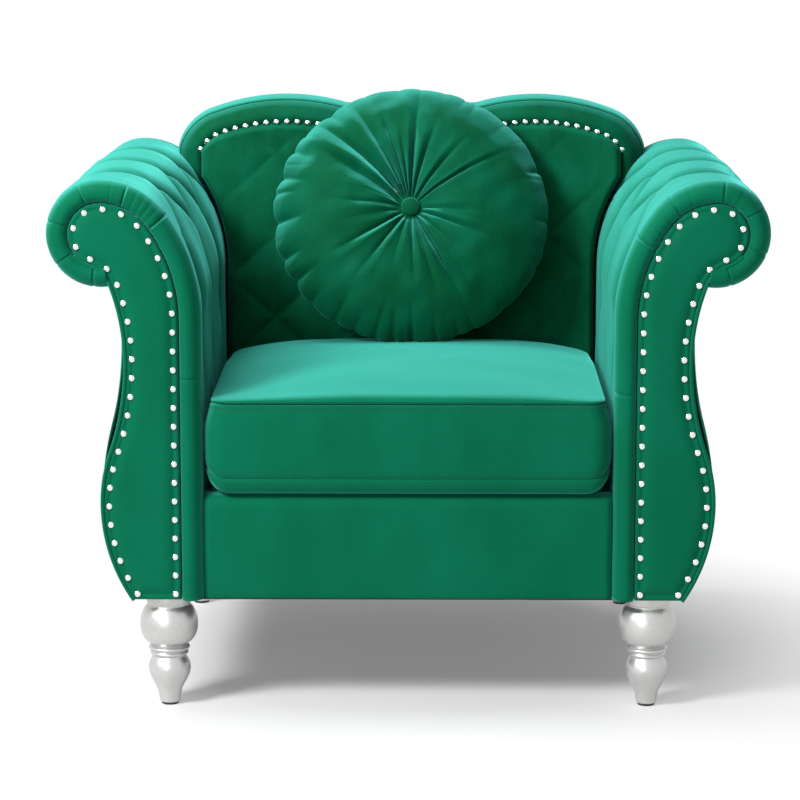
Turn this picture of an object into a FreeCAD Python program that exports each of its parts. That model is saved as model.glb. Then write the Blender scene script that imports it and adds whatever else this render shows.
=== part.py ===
import FreeCAD, Part
import math
import os

from FreeCAD import Placement, Rotation, Vector

os.makedirs("parts", exist_ok=True)

# Chesterfield armchair with rolled, nailed arms, a loose seat cushion and a round pleated pillow.
# X runs across the chair, Y from the front (-) to the back (+), Z up. Sizes are in millimetres.
# A depth is measured backwards from the face of the arm panels, a height from the floor.
# Left and right are the viewer's, who stands in front of the chair.

# Overall
FRONT_Y = -386.75           # face of the arm panels
REAR_DEPTH = 780.0          # back face of the outer back panel
FRAME_BOTTOM = 172.0        # underside of the upholstered body
SEAT_TOP = 331.0            # top of the deck and of the front rail cover

# Arm panel: an outline of tangent arcs, from the inner edge over the scroll and down the outside
ARM_INNER_X = 305.0         # padded inner face of each arm
BAND_WIDTH = 33.0           # pleated band round the panel
PANEL_INNER_X = ARM_INNER_X + BAND_WIDTH
SCROLL_X, SCROLL_Z, SCROLL_R = 452.0, 721.0, 46.0
SHOULDER_R = 85.0           # top of the arm, inside the scroll
FLANK_R = 230.0             # inner upper curve
NECK_R = 50.0               # hollow under the scroll
WAIST_X, WAIST_Z, WAIST_R = 414.0, 533.0, 330.0
BULGE_X, BULGE_Z, BULGE_R, FOOT_R = 451.0, 318.0, 230.0, 260.0
FLAT_ANGLE = 13.0           # turn of each flat where a padded roll is drawn in flats
SCROLL_END = -100.0         # where the padded roll ends under the scroll, in degrees
COVER_LOW_X = 400.0         # outer edge of the rear cover below the scroll

# Side of the arm, behind the panel
SIDE_WAIST_X, SIDE_WAIST_Z, SIDE_WAIST_R = 423.5, 560.0, 262.0
SIDE_BULGE_X, SIDE_BULGE_R = 456.0, 470.0
SIDE_TOP = 641.0
SIDE_THICK = 3.5

# Arm depths
PANEL_THICK = 12.0
BOARD_REAR = 34.0           # back face of the front board
ARM_PAD_REAR = 705.0
ARM_REAR = 728.0
TUFT_SPACING = 89.0         # depth between a tuft of the upper row and its neighbour in the lower row
LOWER_TUFTS = (86.0, 264.0, 442.0, 620.0)
UPPER_TUFTS = tuple(depth + TUFT_SPACING for depth in LOWER_TUFTS[:-1])
TUFT_PULL = 11.0
PIPING = 4.0
PAD_BOTTOM = 262.0
PAD_THICK = 40.0

# Frame boards
SAWN_OUTLINE = [            # across and height of the corners of the boards in the arms
    (338.0, 172.0), (338.0, 594.0), (352.0, 670.0), (385.0, 725.0), (425.0, 758.0), (480.0, 754.0),
    (493.0, 721.0), (470.0, 682.0), (440.0, 672.0), (422.0, 640.0), (413.5, 533.0), (413.5, 480.0),
    (443.0, 318.0), (402.0, 172.0),
]
RAIL_THICK = 25.0
RAIL_TOP = 298.0
TOP_RAIL = (378.0, 436.0, 690.0, 735.0)    # x from, x to, z from, z to
POST_FRONT, POST_REAR = 732.5, 758.0
POST_INNER, POST_OUTER = 300.0, 341.0
COVER_FRONT, COVER_REAR = 9.0, 40.0        # padded cover of the front rail
REAR_RAIL_DEPTH = 640.0

# Back
BACK_SIDE_X = 392.0
BACK_SIDE_Z = 785.0
HUMP_X, HUMP_Z = 250.0, 870.0
DIP_X, DIP_Z, DIP_END_Z = 110.0, 855.0, 858.5
SHOULDER_X, SHOULDER_Z = 330.0, 851.0
BACK_NAIL_INSET = 42.0
BORDER_INSET = 50.0
BORDER_FRONT, BORDER_REAR = 630.0, 772.0
BACK_FOOT_DEPTH, BACK_MID_DEPTH = 560.0, 583.0
BACK_MID_Z = 578.0
DIAMOND = 150.0             # spacing of the tufting lines on the back
GROOVE_DEPTH, GROOVE_WIDTH = 12.0, 16.0

# Seat cushion
CUSHION_HALF = 300.0
CUSHION_BOTTOM, CUSHION_SEAM = 332.0, 470.0
CUSHION_REAR = 545.0
CUSHION_CROWN = 25.0

# Pillow
PILLOW_R, PILLOW_SQUASH = 225.0, 0.95
PILLOW_DEPTH, PILLOW_Z = 527.0, 687.1
PILLOW_LEAN = 24.0
PILLOW_FOLDS, PILLOW_SIDES = 16, 12
PILLOW_FOLD = 0.04          # depth of a fold as a share of the radius

# Nails
NAIL_R, NAIL_TOP_R, NAIL_HEIGHT = 5.0, 3.0, 3.4
NAIL_INSET = 8.0
ARM_NAILS = 46
BACK_NAILS = 43

# Legs
LEG_X = 361.0
LEG_DEPTHS = (48.0, 672.0)
LEG_TOP = FRAME_BOTTOM
COLLAR_R, COLLAR_Z = 34.0, 156.0
BALL_R, BALL_Z = 43.7, 126.0
RING_R = 30.5
RING_TOP, RING_FOOT = 95.0, 77.0
VASE_R, VASE_Z = 32.0, 57.0
TOE_R = 15.5
GLIDE_HEIGHT, GLIDE_R = 4.0, 13.0
BOLT_R, BOLT_CLEARANCE = 4.0, 0.3
LEG_SIDES, BOLT_SIDES = 24, 8
BLOCK_TOP = 226.0           # top of the corner blocks


def at(x, depth, z):
    """A point given by its place across, its depth behind the arm panels and its height."""
    return Vector(x, FRONT_Y + depth, z)


def on_circle(centre, radius, angle):
    a = math.radians(angle)
    return centre[0] + radius * math.cos(a), centre[1] + radius * math.sin(a)


def bearing(start, end):
    return math.degrees(math.atan2(end[1] - start[1], end[0] - start[0]))


def arc_edge(arc, depth):
    """An arc (centre, radius, first angle, last angle), drawn at one depth."""
    centre, radius, first, last = arc
    points = [on_circle(centre, radius, a) for a in (first, (first + last) / 2, last)]
    return Part.Arc(*[at(x, depth, z) for x, z in points]).toShape()


def arc_ends(arc):
    centre, radius, first, last = arc
    return on_circle(centre, radius, first), on_circle(centre, radius, last)


def line_edges(points, depth):
    places = [at(x, depth, z) for x, z in points]
    return [Part.makeLine(a, b) for a, b in pairs(places)]


def closed_wire(arcs, corners, depth):
    """Arcs that follow one another, closed by straight lines through the corners."""
    edges = [arc_edge(arc, depth) for arc in arcs]
    first = arc_ends(arcs[0])[0]
    last = arc_ends(arcs[-1])[1]
    edges += line_edges([last] + list(corners) + [first], depth)
    return Part.Wire(edges)


def pairs(points):
    return list(zip(points, points[1:]))


def flat_faces(a, b, c, d):
    """One flat face through four corners, or two where the corners are not in a plane."""
    lean = (b - a).cross(c - a).dot(d - a)
    loops = [[a, b, c, d, a]] if abs(lean) < 1e-3 else [[a, b, c, a], [a, c, d, a]]
    return [Part.Face(Part.makePolygon(loop)) for loop in loops]


def faceted(rings):
    """A solid with flat sides between rings that have the same number of points."""
    faces = [Part.Face(Part.makePolygon(ring)) for ring in (rings[0], rings[-1])]
    for low, high in pairs(rings):
        for near, far in zip(pairs(low), pairs(high)):
            faces += flat_faces(near[0], near[1], far[1], far[0])
    shell = Part.Shell(faces)
    shell.sewShape()
    solid = Part.Solid(shell)
    if solid.Volume < 0:
        solid.reverse()
    return solid


def flats_ring(arcs, corners, depth):
    """The outline that closed_wire draws, with its arcs in short straight flats."""
    points = []
    for centre, radius, first, last in arcs:
        steps = max(1, round(abs(last - first) / FLAT_ANGLE))
        turn = (last - first) / steps
        points += [on_circle(centre, radius, first + turn * i) for i in range(steps)]
    points += [arc_ends(arcs[-1])[1]] + list(corners) + points[:1]
    return [at(x, depth, z) for x, z in points]


def turned(rings, sides):
    """A turned solid in flats, from rings given as radius and height."""
    return faceted([round_ring(z, radius, sides) for radius, z in rings])


def round_ring(height, radius, sides):
    corners = [on_circle((0, 0), radius, 360.0 * i / sides) for i in range(sides + 1)]
    return [Vector(x, y, height) for x, y in corners]


def prism(wire, length):
    return Part.Face(wire).extrude(Vector(0, length, 0))


def block(x_from, x_to, depth_from, depth_to, z_from, z_to):
    size = (x_to - x_from, depth_to - depth_from, z_to - z_from)
    return Part.makeBox(*size, at(x_from, depth_from, z_from))


def mirrored(shape):
    return shape.mirror(Vector(0, 0, 0), Vector(1, 0, 0))


def export(name, shape):
    shape.exportStep("parts/" + name + ".step")


def export_pair(name, shape):
    export(name + "_right", shape)
    export(name + "_left", mirrored(shape))


# Outline of the arm panel
def outline_centres():
    """Centres of the tangent arcs of the panel outline."""
    scroll = (SCROLL_X, SCROLL_Z)
    shoulder = (SCROLL_X, SCROLL_Z + SCROLL_R - SHOULDER_R)
    flank_x = PANEL_INNER_X + FLANK_R
    drop = math.sqrt((FLANK_R - SHOULDER_R) ** 2 - (flank_x - SCROLL_X) ** 2)
    flank = (flank_x, shoulder[1] - drop)
    waist = (WAIST_X + WAIST_R, WAIST_Z)
    neck = meeting_point(waist, WAIST_R - NECK_R, scroll, SCROLL_R + NECK_R)
    bulge = (BULGE_X - BULGE_R, BULGE_Z)
    lower_r = hollow_radius(WAIST_X, WAIST_Z, bulge, BULGE_R)
    lower = (WAIST_X + lower_r, WAIST_Z)
    foot = (BULGE_X - FOOT_R, BULGE_Z)
    return scroll, shoulder, flank, waist, neck, bulge, lower, lower_r, foot


def meeting_point(a, reach_a, b, reach_b):
    """The lower of the two points that lie reach_a from a and reach_b from b."""
    gap = math.hypot(b[0] - a[0], b[1] - a[1])
    along = (reach_a ** 2 - reach_b ** 2 + gap ** 2) / (2 * gap)
    side = math.sqrt(reach_a ** 2 - along ** 2)
    ux, uz = (b[0] - a[0]) / gap, (b[1] - a[1]) / gap
    return a[0] + along * ux - side * uz, a[1] + along * uz + side * ux


def hollow_radius(x, z, bulge, bulge_r):
    """Radius of the hollow that is upright at (x, z) and runs tangent into the bulge below it."""
    reach = x - bulge[0]
    drop = z - bulge[1]
    return (reach ** 2 + drop ** 2 - bulge_r ** 2) / (2 * (bulge_r - reach))


def inner_arcs(offset):
    """Flank and shoulder of the arm, moved outwards by an offset."""
    scroll, shoulder, flank = outline_centres()[:3]
    turn = bearing(flank, shoulder)
    return [(flank, FLANK_R + offset, 180.0, turn), (shoulder, SHOULDER_R + offset, turn, 90.0)]


def outer_arcs(offset):
    """Scroll, neck, waist and bulge of the panel, down to the frame bottom."""
    scroll, _, _, waist, neck, bulge, lower, lower_r, foot = outline_centres()
    under = bearing(scroll, neck)
    neck_end = bearing(waist, neck)
    foot_r = FOOT_R + offset
    foot_angle = -math.degrees(math.asin((BULGE_Z - FRAME_BOTTOM) / foot_r))
    return [
        (scroll, SCROLL_R + offset, 90.0, under),
        (neck, NECK_R - offset, under + 180.0, neck_end),
        (waist, WAIST_R - offset, neck_end, 180.0),
        (lower, lower_r - offset, 180.0, bearing(lower, bulge) % 360),
        (bulge, BULGE_R + offset, bearing(bulge, lower), 0.0),
        (foot, foot_r, 0.0, foot_angle),
    ]


def panel_wire(offset, depth):
    arcs = inner_arcs(offset) + outer_arcs(offset)
    return closed_wire(arcs, [(PANEL_INNER_X - offset, FRAME_BOTTOM)], depth)


def roll_arcs(offset):
    """Flank, shoulder and the whole round of the padded roll."""
    scroll = (SCROLL_X, SCROLL_Z)
    radius = SCROLL_R + offset
    return inner_arcs(offset) + [(scroll, radius, 90.0, 0.0), (scroll, radius, 0.0, SCROLL_END)]


def side_arcs(inset):
    """Outer side of the arm from under the scroll to the frame bottom."""
    waist = (SIDE_WAIST_X + SIDE_WAIST_R, SIDE_WAIST_Z)
    bulge = (SIDE_BULGE_X - SIDE_BULGE_R, BULGE_Z)
    lower_r = hollow_radius(SIDE_WAIST_X, SIDE_WAIST_Z, bulge, SIDE_BULGE_R)
    lower = (SIDE_WAIST_X + lower_r, SIDE_WAIST_Z)
    foot = (SIDE_BULGE_X - FOOT_R, BULGE_Z)
    top = 180.0 - math.degrees(math.asin((SIDE_TOP - SIDE_WAIST_Z) / (SIDE_WAIST_R + inset)))
    foot_angle = -math.degrees(math.asin((BULGE_Z - FRAME_BOTTOM) / (FOOT_R - inset)))
    return [
        (waist, SIDE_WAIST_R + inset, top, 180.0),
        (lower, lower_r + inset, 180.0, bearing(lower, bulge) % 360),
        (bulge, SIDE_BULGE_R - inset, bearing(bulge, lower), 0.0),
        (foot, FOOT_R - inset, 0.0, foot_angle),
    ]


def side_region(inset, depth, length):
    corners = [(POST_OUTER, FRAME_BOTTOM), (POST_OUTER, SIDE_TOP)]
    return prism(closed_wire(side_arcs(inset), corners, depth), length)


def arm_outline(offset, low_x, depth):
    """The whole arm seen from the front: padded roll above, and inside of low_x below the scroll."""
    arcs = roll_arcs(offset)
    corners = [(SCROLL_X - 14, SIDE_TOP), (low_x, SIDE_TOP), (low_x, FRAME_BOTTOM)]
    corners.append((PANEL_INNER_X - offset, FRAME_BOTTOM))
    return closed_wire(arcs, corners, depth)


# Arms
def arm_front_panel():
    return prism(panel_wire(0, 0), PANEL_THICK)


def sawn_board(depth, thickness):
    """Board with straight sawn sides, inside the outline of the panel."""
    return prism(Part.Wire(line_edges(SAWN_OUTLINE + SAWN_OUTLINE[:1], depth)), thickness)


def arm_piping():
    """Welt that runs round the panel, half sunk beside its face."""
    ring = prism(panel_wire(PIPING, -3), 6)
    return ring.cut(prism(panel_wire(0, -3), 6))


def arm_band():
    """Padded band round the inner edge and the scroll, rounded towards the front."""
    sections = ((BOARD_REAR, 0.0), (8.0, 0.0), (-3.0, 6.0), (-6.5, 18.0))
    rings = []
    for depth, shrink in sections:
        offset = BAND_WIDTH - shrink
        corners = [(SCROLL_X - 24, 655.0), (372.0, 640.0), (372.0, FRAME_BOTTOM)]
        corners.append((PANEL_INNER_X - offset, FRAME_BOTTOM))
        rings.append(flats_ring(roll_arcs(offset), corners, depth))
    roll = faceted(rings)
    roll = roll.cut(prism(panel_wire(0, -20), 20 + BOARD_REAR))
    return roll.cut(prism(panel_wire(PIPING, -20), 23))


def pad_ring(flank_offset, roll_offset, depth):
    """Section of the arm pad: it hooks over the top rail and ends under the scroll."""
    x_from, x_to, z_from, z_to = TOP_RAIL
    back_x = ARM_INNER_X + PAD_THICK
    corners = [(x_to, z_from), (x_to, z_to), (x_from, z_to), (x_from, z_from)]
    corners += [(back_x, 640.0), (back_x, PAD_BOTTOM), (ARM_INNER_X + 3, PAD_BOTTOM)]
    arcs = inner_arcs(flank_offset)[:1] + roll_arcs(roll_offset)[1:]
    return flats_ring(arcs, corners, depth)


def arm_pad():
    """Pad over the inner side and the roll, drawn in at two staggered rows of tufts."""
    valley = BAND_WIDTH - TUFT_PULL
    sections = [(BAND_WIDTH - 3, BAND_WIDTH - 3, BOARD_REAR)]
    sections += [(valley, BAND_WIDTH, depth) for depth in LOWER_TUFTS]
    sections += [(BAND_WIDTH, valley, depth) for depth in UPPER_TUFTS]
    sections += [(BAND_WIDTH - 4, BAND_WIDTH - 4, ARM_PAD_REAR)]
    return faceted([pad_ring(*section) for section in sorted(sections, key=lambda s: s[-1])])


def arm_top_rail():
    x_from, x_to, z_from, z_to = TOP_RAIL
    return block(x_from, x_to, BOARD_REAR, ARM_PAD_REAR, z_from, z_to)


def arm_lower_rail():
    return block(ARM_INNER_X + PAD_THICK, ARM_INNER_X + PAD_THICK + RAIL_THICK,
                 BOARD_REAR, ARM_PAD_REAR, 345.0, 400.0)


def side_rail():
    return block(ARM_INNER_X, PANEL_INNER_X, BOARD_REAR, ARM_PAD_REAR, FRAME_BOTTOM, PAD_BOTTOM)


def arm_rear_cover():
    return prism(arm_outline(BAND_WIDTH - 3, COVER_LOW_X, ARM_REAR - 6), 6)


def arm_outer_panel():
    outer = side_region(0, 3, BORDER_REAR - 3)
    return outer.cut(side_region(SIDE_THICK, 3, BORDER_REAR - 3))


# Nails
def nail(x, depth, z):
    """Six-sided domed head, seated on a face that looks forwards."""
    rings = []
    for radius, rise in ((NAIL_R, 0.0), (NAIL_TOP_R, NAIL_HEIGHT)):
        corners = [on_circle((x, z), radius, 60.0 * i) for i in range(7)]
        rings.append([at(cx, depth - rise, cz) for cx, cz in corners])
    return faceted(rings)


def nail_row(edges, count, depth):
    points = Part.Wire(edges).discretize(Number=count)
    return Part.makeCompound([nail(p.x, depth, p.z) for p in points])


def arm_nails():
    arcs = inner_arcs(-NAIL_INSET) + outer_arcs(-NAIL_INSET)
    low = FRAME_BOTTOM + NAIL_INSET + 2
    x = PANEL_INNER_X + NAIL_INSET
    edges = line_edges([(x, low), (x, arc_ends(arcs[0])[0][1])], 0)
    foot, radius, first, _ = arcs[-1]
    arcs[-1] = (foot, radius, first, -math.degrees(math.asin((BULGE_Z - low) / radius)))
    return nail_row(edges + [arc_edge(arc, 0) for arc in arcs], ARM_NAILS, 0)


# Back
def back_edges(inset, side, depth):
    """Serpentine top of the back from its right side to its left, inset all along."""
    side_point = (BACK_SIDE_X - side, BACK_SIDE_Z)
    shoulder_mid = (372.0 - 0.8 * side, 824.0 - 0.6 * inset)
    shoulder = (SHOULDER_X - 0.5 * side, SHOULDER_Z - 0.87 * inset)
    hump = (HUMP_X, HUMP_Z - inset)
    dip_end = (DIP_X, DIP_END_Z - inset)
    dip = (0.0, DIP_Z - inset)

    def through(a, b, c):
        return Part.Arc(at(a[0], depth, a[1]), at(b[0], depth, b[1]), at(c[0], depth, c[1])).toShape()

    def flip(point):
        return (-point[0], point[1])

    right = [through(side_point, shoulder_mid, shoulder), through(shoulder, hump, dip_end)]
    middle = through(dip_end, dip, flip(dip_end))
    left = [through(flip(dip_end), flip(hump), flip(shoulder)),
            through(flip(shoulder), flip(shoulder_mid), flip(side_point))]
    return right + [middle] + left


def back_wire(inset, side, corners, depth):
    """The serpentine, closed by corners that run down the right side and back up the left."""
    x = BACK_SIDE_X - side
    left = [(-cx, cz) for cx, cz in corners]
    points = [(-x, BACK_SIDE_Z)] + left + list(reversed(corners)) + [(x, BACK_SIDE_Z)]
    return Part.Wire(back_edges(inset, side, depth) + line_edges(points, depth))


def arm_clearance(depth_to):
    """Room that both arms need where the back passes between them."""
    gap = 1.5
    right = prism(arm_outline(BAND_WIDTH + gap, SIDE_WAIST_X + 10, 0), depth_to)
    return right.fuse(mirrored(right))


def back_border():
    """Rolled border: rounded over the top and sides, and standing behind the arms."""
    sections = ((BORDER_FRONT, 34, 34), (641, 16, 16), (665, 3, 3), (695, 0, 0),
                (738, 9, 3), (BORDER_REAR, 42, 14))
    wires = []
    for depth, inset, side in sections:
        corners = [(BACK_SIDE_X - side, 665.0), (431.5 - side * 0.2, 640.5), (421.5, 600.0)]
        wires.append(back_wire(inset, side, corners, depth))
    border = Part.makeLoft(wires, True, True)
    inner = back_wire(BORDER_INSET, BORDER_INSET, [(BACK_SIDE_X - BORDER_INSET, 500.0)], 600)
    border = border.cut(prism(inner, 200))
    return border.cut(arm_clearance(ARM_REAR + 1.5))


def back_pad():
    """Inside back between the arms, crowned and crossed by sewn diamond lines."""
    side_x = BACK_SIDE_X - BORDER_INSET
    front = prism(back_wire(BORDER_INSET, BORDER_INSET, [(side_x, SEAT_TOP + 2)], 500), 250)
    foot = at(0, BACK_FOOT_DEPTH, SEAT_TOP + 2)
    top = at(0, BORDER_FRONT, HUMP_Z)
    crown = Part.Arc(foot, at(0, BACK_MID_DEPTH, BACK_MID_Z), top).toShape()
    rear = [Part.makeLine(top, at(0, 700, HUMP_Z)),
            Part.makeLine(at(0, 700, HUMP_Z), at(0, 650, SEAT_TOP + 2)),
            Part.makeLine(at(0, 650, SEAT_TOP + 2), foot)]
    profile = Part.Face(Part.Wire([crown] + rear))
    profile.translate(Vector(-500, 0, 0))
    pad = front.common(profile.extrude(Vector(1000, 0, 0)))
    pad = pad.cut(arm_clearance(ARM_REAR))
    return pad.cut(tuft_grooves())


def tuft_grooves():
    """Shallow V cuts along the diagonals of the tufting."""
    lean = math.degrees(math.atan2(BORDER_FRONT - BACK_FOOT_DEPTH, HUMP_Z - SEAT_TOP))
    half = GROOVE_WIDTH / 2
    reach = 700.0
    corners = [Vector(-reach, -half, 1), Vector(-reach, 0, -GROOVE_DEPTH), Vector(-reach, half, 1)]
    groove = Part.Face(Part.makePolygon(corners + corners[:1])).extrude(Vector(2 * reach, 0, 0))
    cuts = []
    for slope in (-42.0, 42.0):
        for i in range(-3, 4):
            line = groove.copy()
            line.rotate(Vector(0, 0, 0), Vector(0, 0, 1), slope)
            line.translate(Vector(i * DIAMOND, 0, 0))
            line.rotate(Vector(0, 0, 0), Vector(1, 0, 0), 90.0 - lean)
            line.translate(at(0, BACK_MID_DEPTH, BACK_MID_Z))
            cuts.append(line)
    return cuts[0].multiFuse(cuts[1:])


def back_nails():
    edges = back_edges(BACK_NAIL_INSET, BACK_NAIL_INSET, BORDER_FRONT)
    return nail_row(edges, BACK_NAILS, BORDER_FRONT)


def back_outer_panel():
    """Flat outer back that closes the body and the rear of both arms."""
    thick = REAR_DEPTH - BORDER_REAR
    body = prism(closed_wire(side_arcs(0), [(0, FRAME_BOTTOM), (0, SIDE_TOP)], BORDER_REAR), thick)
    top = prism(back_wire(42, 14, [(BACK_SIDE_X - 14, 660.0), (SIDE_WAIST_X, 630.0)], BORDER_REAR), thick)
    return body.fuse([mirrored(body), top]).removeSplitter()


def back_post():
    return block(POST_INNER, POST_OUTER, POST_FRONT, POST_REAR, FRAME_BOTTOM, 760.0)


def back_top_rail():
    """Board sawn to the serpentine, on the posts."""
    side = BACK_SIDE_X - POST_OUTER
    wire = back_wire(side + 1, side, [(POST_OUTER, 760.0)], POST_FRONT)
    return prism(wire, POST_REAR - POST_FRONT)


def back_lower_rail():
    return block(-POST_INNER, POST_INNER, POST_FRONT, POST_REAR, 345.0, 405.0)


def back_webbing():
    """Straps that cross behind the back pad, from rail to rail."""
    thick, half = 2.0, 30.0
    straps = []
    for x in (-190.0, 0.0, 190.0):
        straps.append(block(x - half, x + half, POST_FRONT - 2 * thick, POST_FRONT - thick, 345.0, 800.0))
    for z in (470.0, 580.0, 690.0):
        straps.append(block(-POST_OUTER, POST_OUTER, POST_FRONT - thick, POST_FRONT, z - half, z + half))
    return Part.makeCompound(straps)


# Seat frame
def cross_rail(depth):
    """Rail between the side rails, under the seat webbing."""
    return block(-ARM_INNER_X, ARM_INNER_X, depth, depth + RAIL_THICK, FRAME_BOTTOM, RAIL_TOP)


def corner_blocks():
    """Hardwood block in each corner that takes a leg bolt."""
    bore_r = BOLT_R + BOLT_CLEARANCE
    blocks = []
    for low, high, leg_depth in ((BOARD_REAR, 100.0, LEG_DEPTHS[0]), (639.0, ARM_PAD_REAR, LEG_DEPTHS[1])):
        solid = block(PANEL_INNER_X, 400.0, low, high, FRAME_BOTTOM, BLOCK_TOP)
        bore = turned(((bore_r, FRAME_BOTTOM), (bore_r, BLOCK_TOP)), BOLT_SIDES)
        bore.translate(at(LEG_X, leg_depth, 0))
        solid = solid.cut(bore)
        blocks += [solid, mirrored(solid)]
    return Part.makeCompound(blocks)


def seat_webbing():
    """Elastic straps in two crossed layers, tacked on the rails."""
    thick, half = 2.5, 35.0
    middle = RAIL_TOP + thick
    straps = []
    for x in (-230.0, -115.0, 0.0, 115.0, 230.0):
        straps.append(block(x - half, x + half, COVER_REAR + 2, REAR_RAIL_DEPTH + 23, RAIL_TOP, middle))
    for depth in (140.0, 250.0, 360.0, 470.0, 580.0):
        straps.append(block(-303, 303, depth - half, depth + half, middle, middle + thick))
    return Part.makeCompound(straps)


def seat_deck():
    """Pad over the webbing, level with the front rail cover."""
    return block(-303.5, 303.5, COVER_REAR, BACK_FOOT_DEPTH - 4, RAIL_TOP + 5, SEAT_TOP)


def front_rail_cover():
    """Padded cover of the front rail, with a rounded top edge."""
    half = ARM_INNER_X - 0.5
    solid = block(-half, half, COVER_FRONT, COVER_REAR, FRAME_BOTTOM, SEAT_TOP)
    wanted = []
    for edge in solid.Edges:
        middle = edge.CenterOfMass
        if abs(middle.y - (FRONT_Y + COVER_FRONT)) < 0.1 and abs(middle.z - SEAT_TOP) < 0.1:
            wanted.append(edge)
    return solid.makeFillet(14.0, wanted)


def dust_cover():
    """Cloth under the frame, with a square notch round each leg."""
    half = COLLAR_R + 3
    sheet = block(-400, 400, 14, 768, FRAME_BOTTOM - 1.5, FRAME_BOTTOM)
    for x in (-LEG_X, LEG_X):
        for depth in LEG_DEPTHS:
            notch = block(x - half, x + half, depth - half, depth + half, FRAME_BOTTOM - 2, FRAME_BOTTOM)
            sheet = sheet.cut(notch)
    return sheet


# Legs
def leg():
    """Turned leg: collar, ball, two rings, and a vase that tapers to the foot."""
    middle = (RING_TOP + RING_FOOT) / 2
    profile = [(COLLAR_R, LEG_TOP), (COLLAR_R, COLLAR_Z)]
    for angle in (35.0, 15.0, 0.0, -20.0, -40.0):
        reach, rise = on_circle((0, 0), BALL_Z - RING_TOP + 5, angle)
        profile.append((BALL_R - BALL_Z + RING_TOP - 5 + reach, BALL_Z + rise))
    profile += [(RING_R - 3, RING_TOP), (RING_R, RING_TOP - 3), (RING_R, middle + 2), (RING_R - 4, middle),
                (RING_R - 2, middle - 3), (RING_R - 5, RING_FOOT), (VASE_R, VASE_Z + 5),
                (VASE_R, VASE_Z - 4), (TOE_R + 3, 25.0), (TOE_R, GLIDE_HEIGHT)]
    bore = turned(((BOLT_R + BOLT_CLEARANCE, LEG_TOP - 45), (BOLT_R + BOLT_CLEARANCE, LEG_TOP)), BOLT_SIDES)
    return turned(profile, LEG_SIDES).cut(bore)


def on_legs(rings, sides):
    """One turned solid on the axis of each leg."""
    solids = []
    for x in (-LEG_X, LEG_X):
        for depth in LEG_DEPTHS:
            one = turned(rings, sides)
            one.translate(at(x, depth, 0))
            solids.append(one)
    return Part.makeCompound(solids)


def foot_glides():
    return on_legs(((GLIDE_R, 0), (GLIDE_R, GLIDE_HEIGHT)), LEG_SIDES)


def hanger_bolts():
    return on_legs(((BOLT_R, LEG_TOP - 44), (BOLT_R, BLOCK_TOP - 4)), BOLT_SIDES)


# Seat cushion
def cushion_wire(depth, inset, crown):
    """Section across the cushion: flat bottom, bulged sides, crowned top."""
    low, seam = CUSHION_BOTTOM + inset, CUSHION_SEAM - 0.3 * inset
    half = CUSHION_HALF - inset
    foot, edge, bulge = half - 16, half - 5, half
    middle = (low + seam) / 2

    def through(a, b, c):
        return Part.Arc(at(a[0], depth, a[1]), at(b[0], depth, b[1]), at(c[0], depth, c[1])).toShape()

    return Part.Wire([
        Part.makeLine(at(-foot, depth, low), at(foot, depth, low)),
        through((foot, low), (bulge, middle), (edge, seam)),
        through((edge, seam), (0, seam + crown), (-edge, seam)),
        through((-edge, seam), (-bulge, middle), (-foot, low)),
    ])


def seat_cushion_cover():
    """Boxed cushion with a crown, drawn in at its front and rear edges."""
    sections = ((-5.0, 14.0, 3.0), (3.0, 3.0, 8.0), (120.0, 0.0, CUSHION_CROWN),
                (330.0, 0.0, CUSHION_CROWN), (480.0, 0.0, 20.0), (CUSHION_REAR, 10.0, 4.0))
    cover = Part.makeLoft([cushion_wire(*section) for section in sections], True, True)
    return cover.cut(seat_cushion_core())


def seat_cushion_core():
    return block(-278, 278, 16, 525, CUSHION_BOTTOM + 6, CUSHION_SEAM - 4)


def cushion_zip():
    return block(-270, 270, CUSHION_REAR, CUSHION_REAR + 1.0, 385.0, 409.0)


def zip_slider():
    """Slider body and pull tab, parked at one end of the zip."""
    depth = CUSHION_REAR + 1.4
    body = block(-252, -238, depth, depth + 3.0, 391.0, 403.0)
    tab = block(-248, -242, depth + 3.0, depth + 4.5, 368.0, 401.0)
    return body.fuse(tab)


# Pillow
def pillow_ring(height, radius):
    """One ring of the pillow: each fold rises from its valley to a crest and falls again."""
    points = []
    for i in range(2 * PILLOW_FOLDS + 1):
        size = radius * (1 - PILLOW_FOLD) if i % 2 else radius
        x, y = on_circle((0, 0), size, i * 180.0 / PILLOW_FOLDS)
        points.append(Vector(x, y * PILLOW_SQUASH, height))
    return points


def seat_pillow(shape):
    """Turns a shape made flat on the pillow's axis to where the pillow leans."""
    turn = Placement(at(0, PILLOW_DEPTH, PILLOW_Z), Rotation(Vector(1, 0, 0), 90.0 - PILLOW_LEAN))
    shape.Placement = turn.multiply(shape.Placement)
    return shape


def pillow_filling_flat():
    """Filling: a lens of soft fibre inside the cover."""
    rings = ((90, -20), (PILLOW_R - 30, -2), (165, 22), (80, 38))
    return turned(rings, PILLOW_SIDES).cut(pillow_tie_flat())


def pillow_tie_flat():
    return turned(((1.5, -26), (1.5, 48)), 6)


def pillow_cover_flat():
    """Cover with radial folds that run from the button to the rim."""
    rings = ((-26, 26), (-34, 72), (-30, 150), (-12, 212), (0, PILLOW_R),
             (16, 217), (42, 177), (61, 104), (60, 58), (48, 26))
    cover = faceted([pillow_ring(*ring) for ring in rings])
    return cover.cut(pillow_filling_flat().fuse(pillow_tie_flat()))


def pillow_button_flat(height, way):
    """Covered button: a shallow dome with a flat back."""
    rings = ((15.0, 0.0), (15.0, 2.0), (10.5, 6.5), (4.0, 8.0))
    return turned([(radius, height + way * rise) for radius, rise in rings], PILLOW_SIDES)


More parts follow.
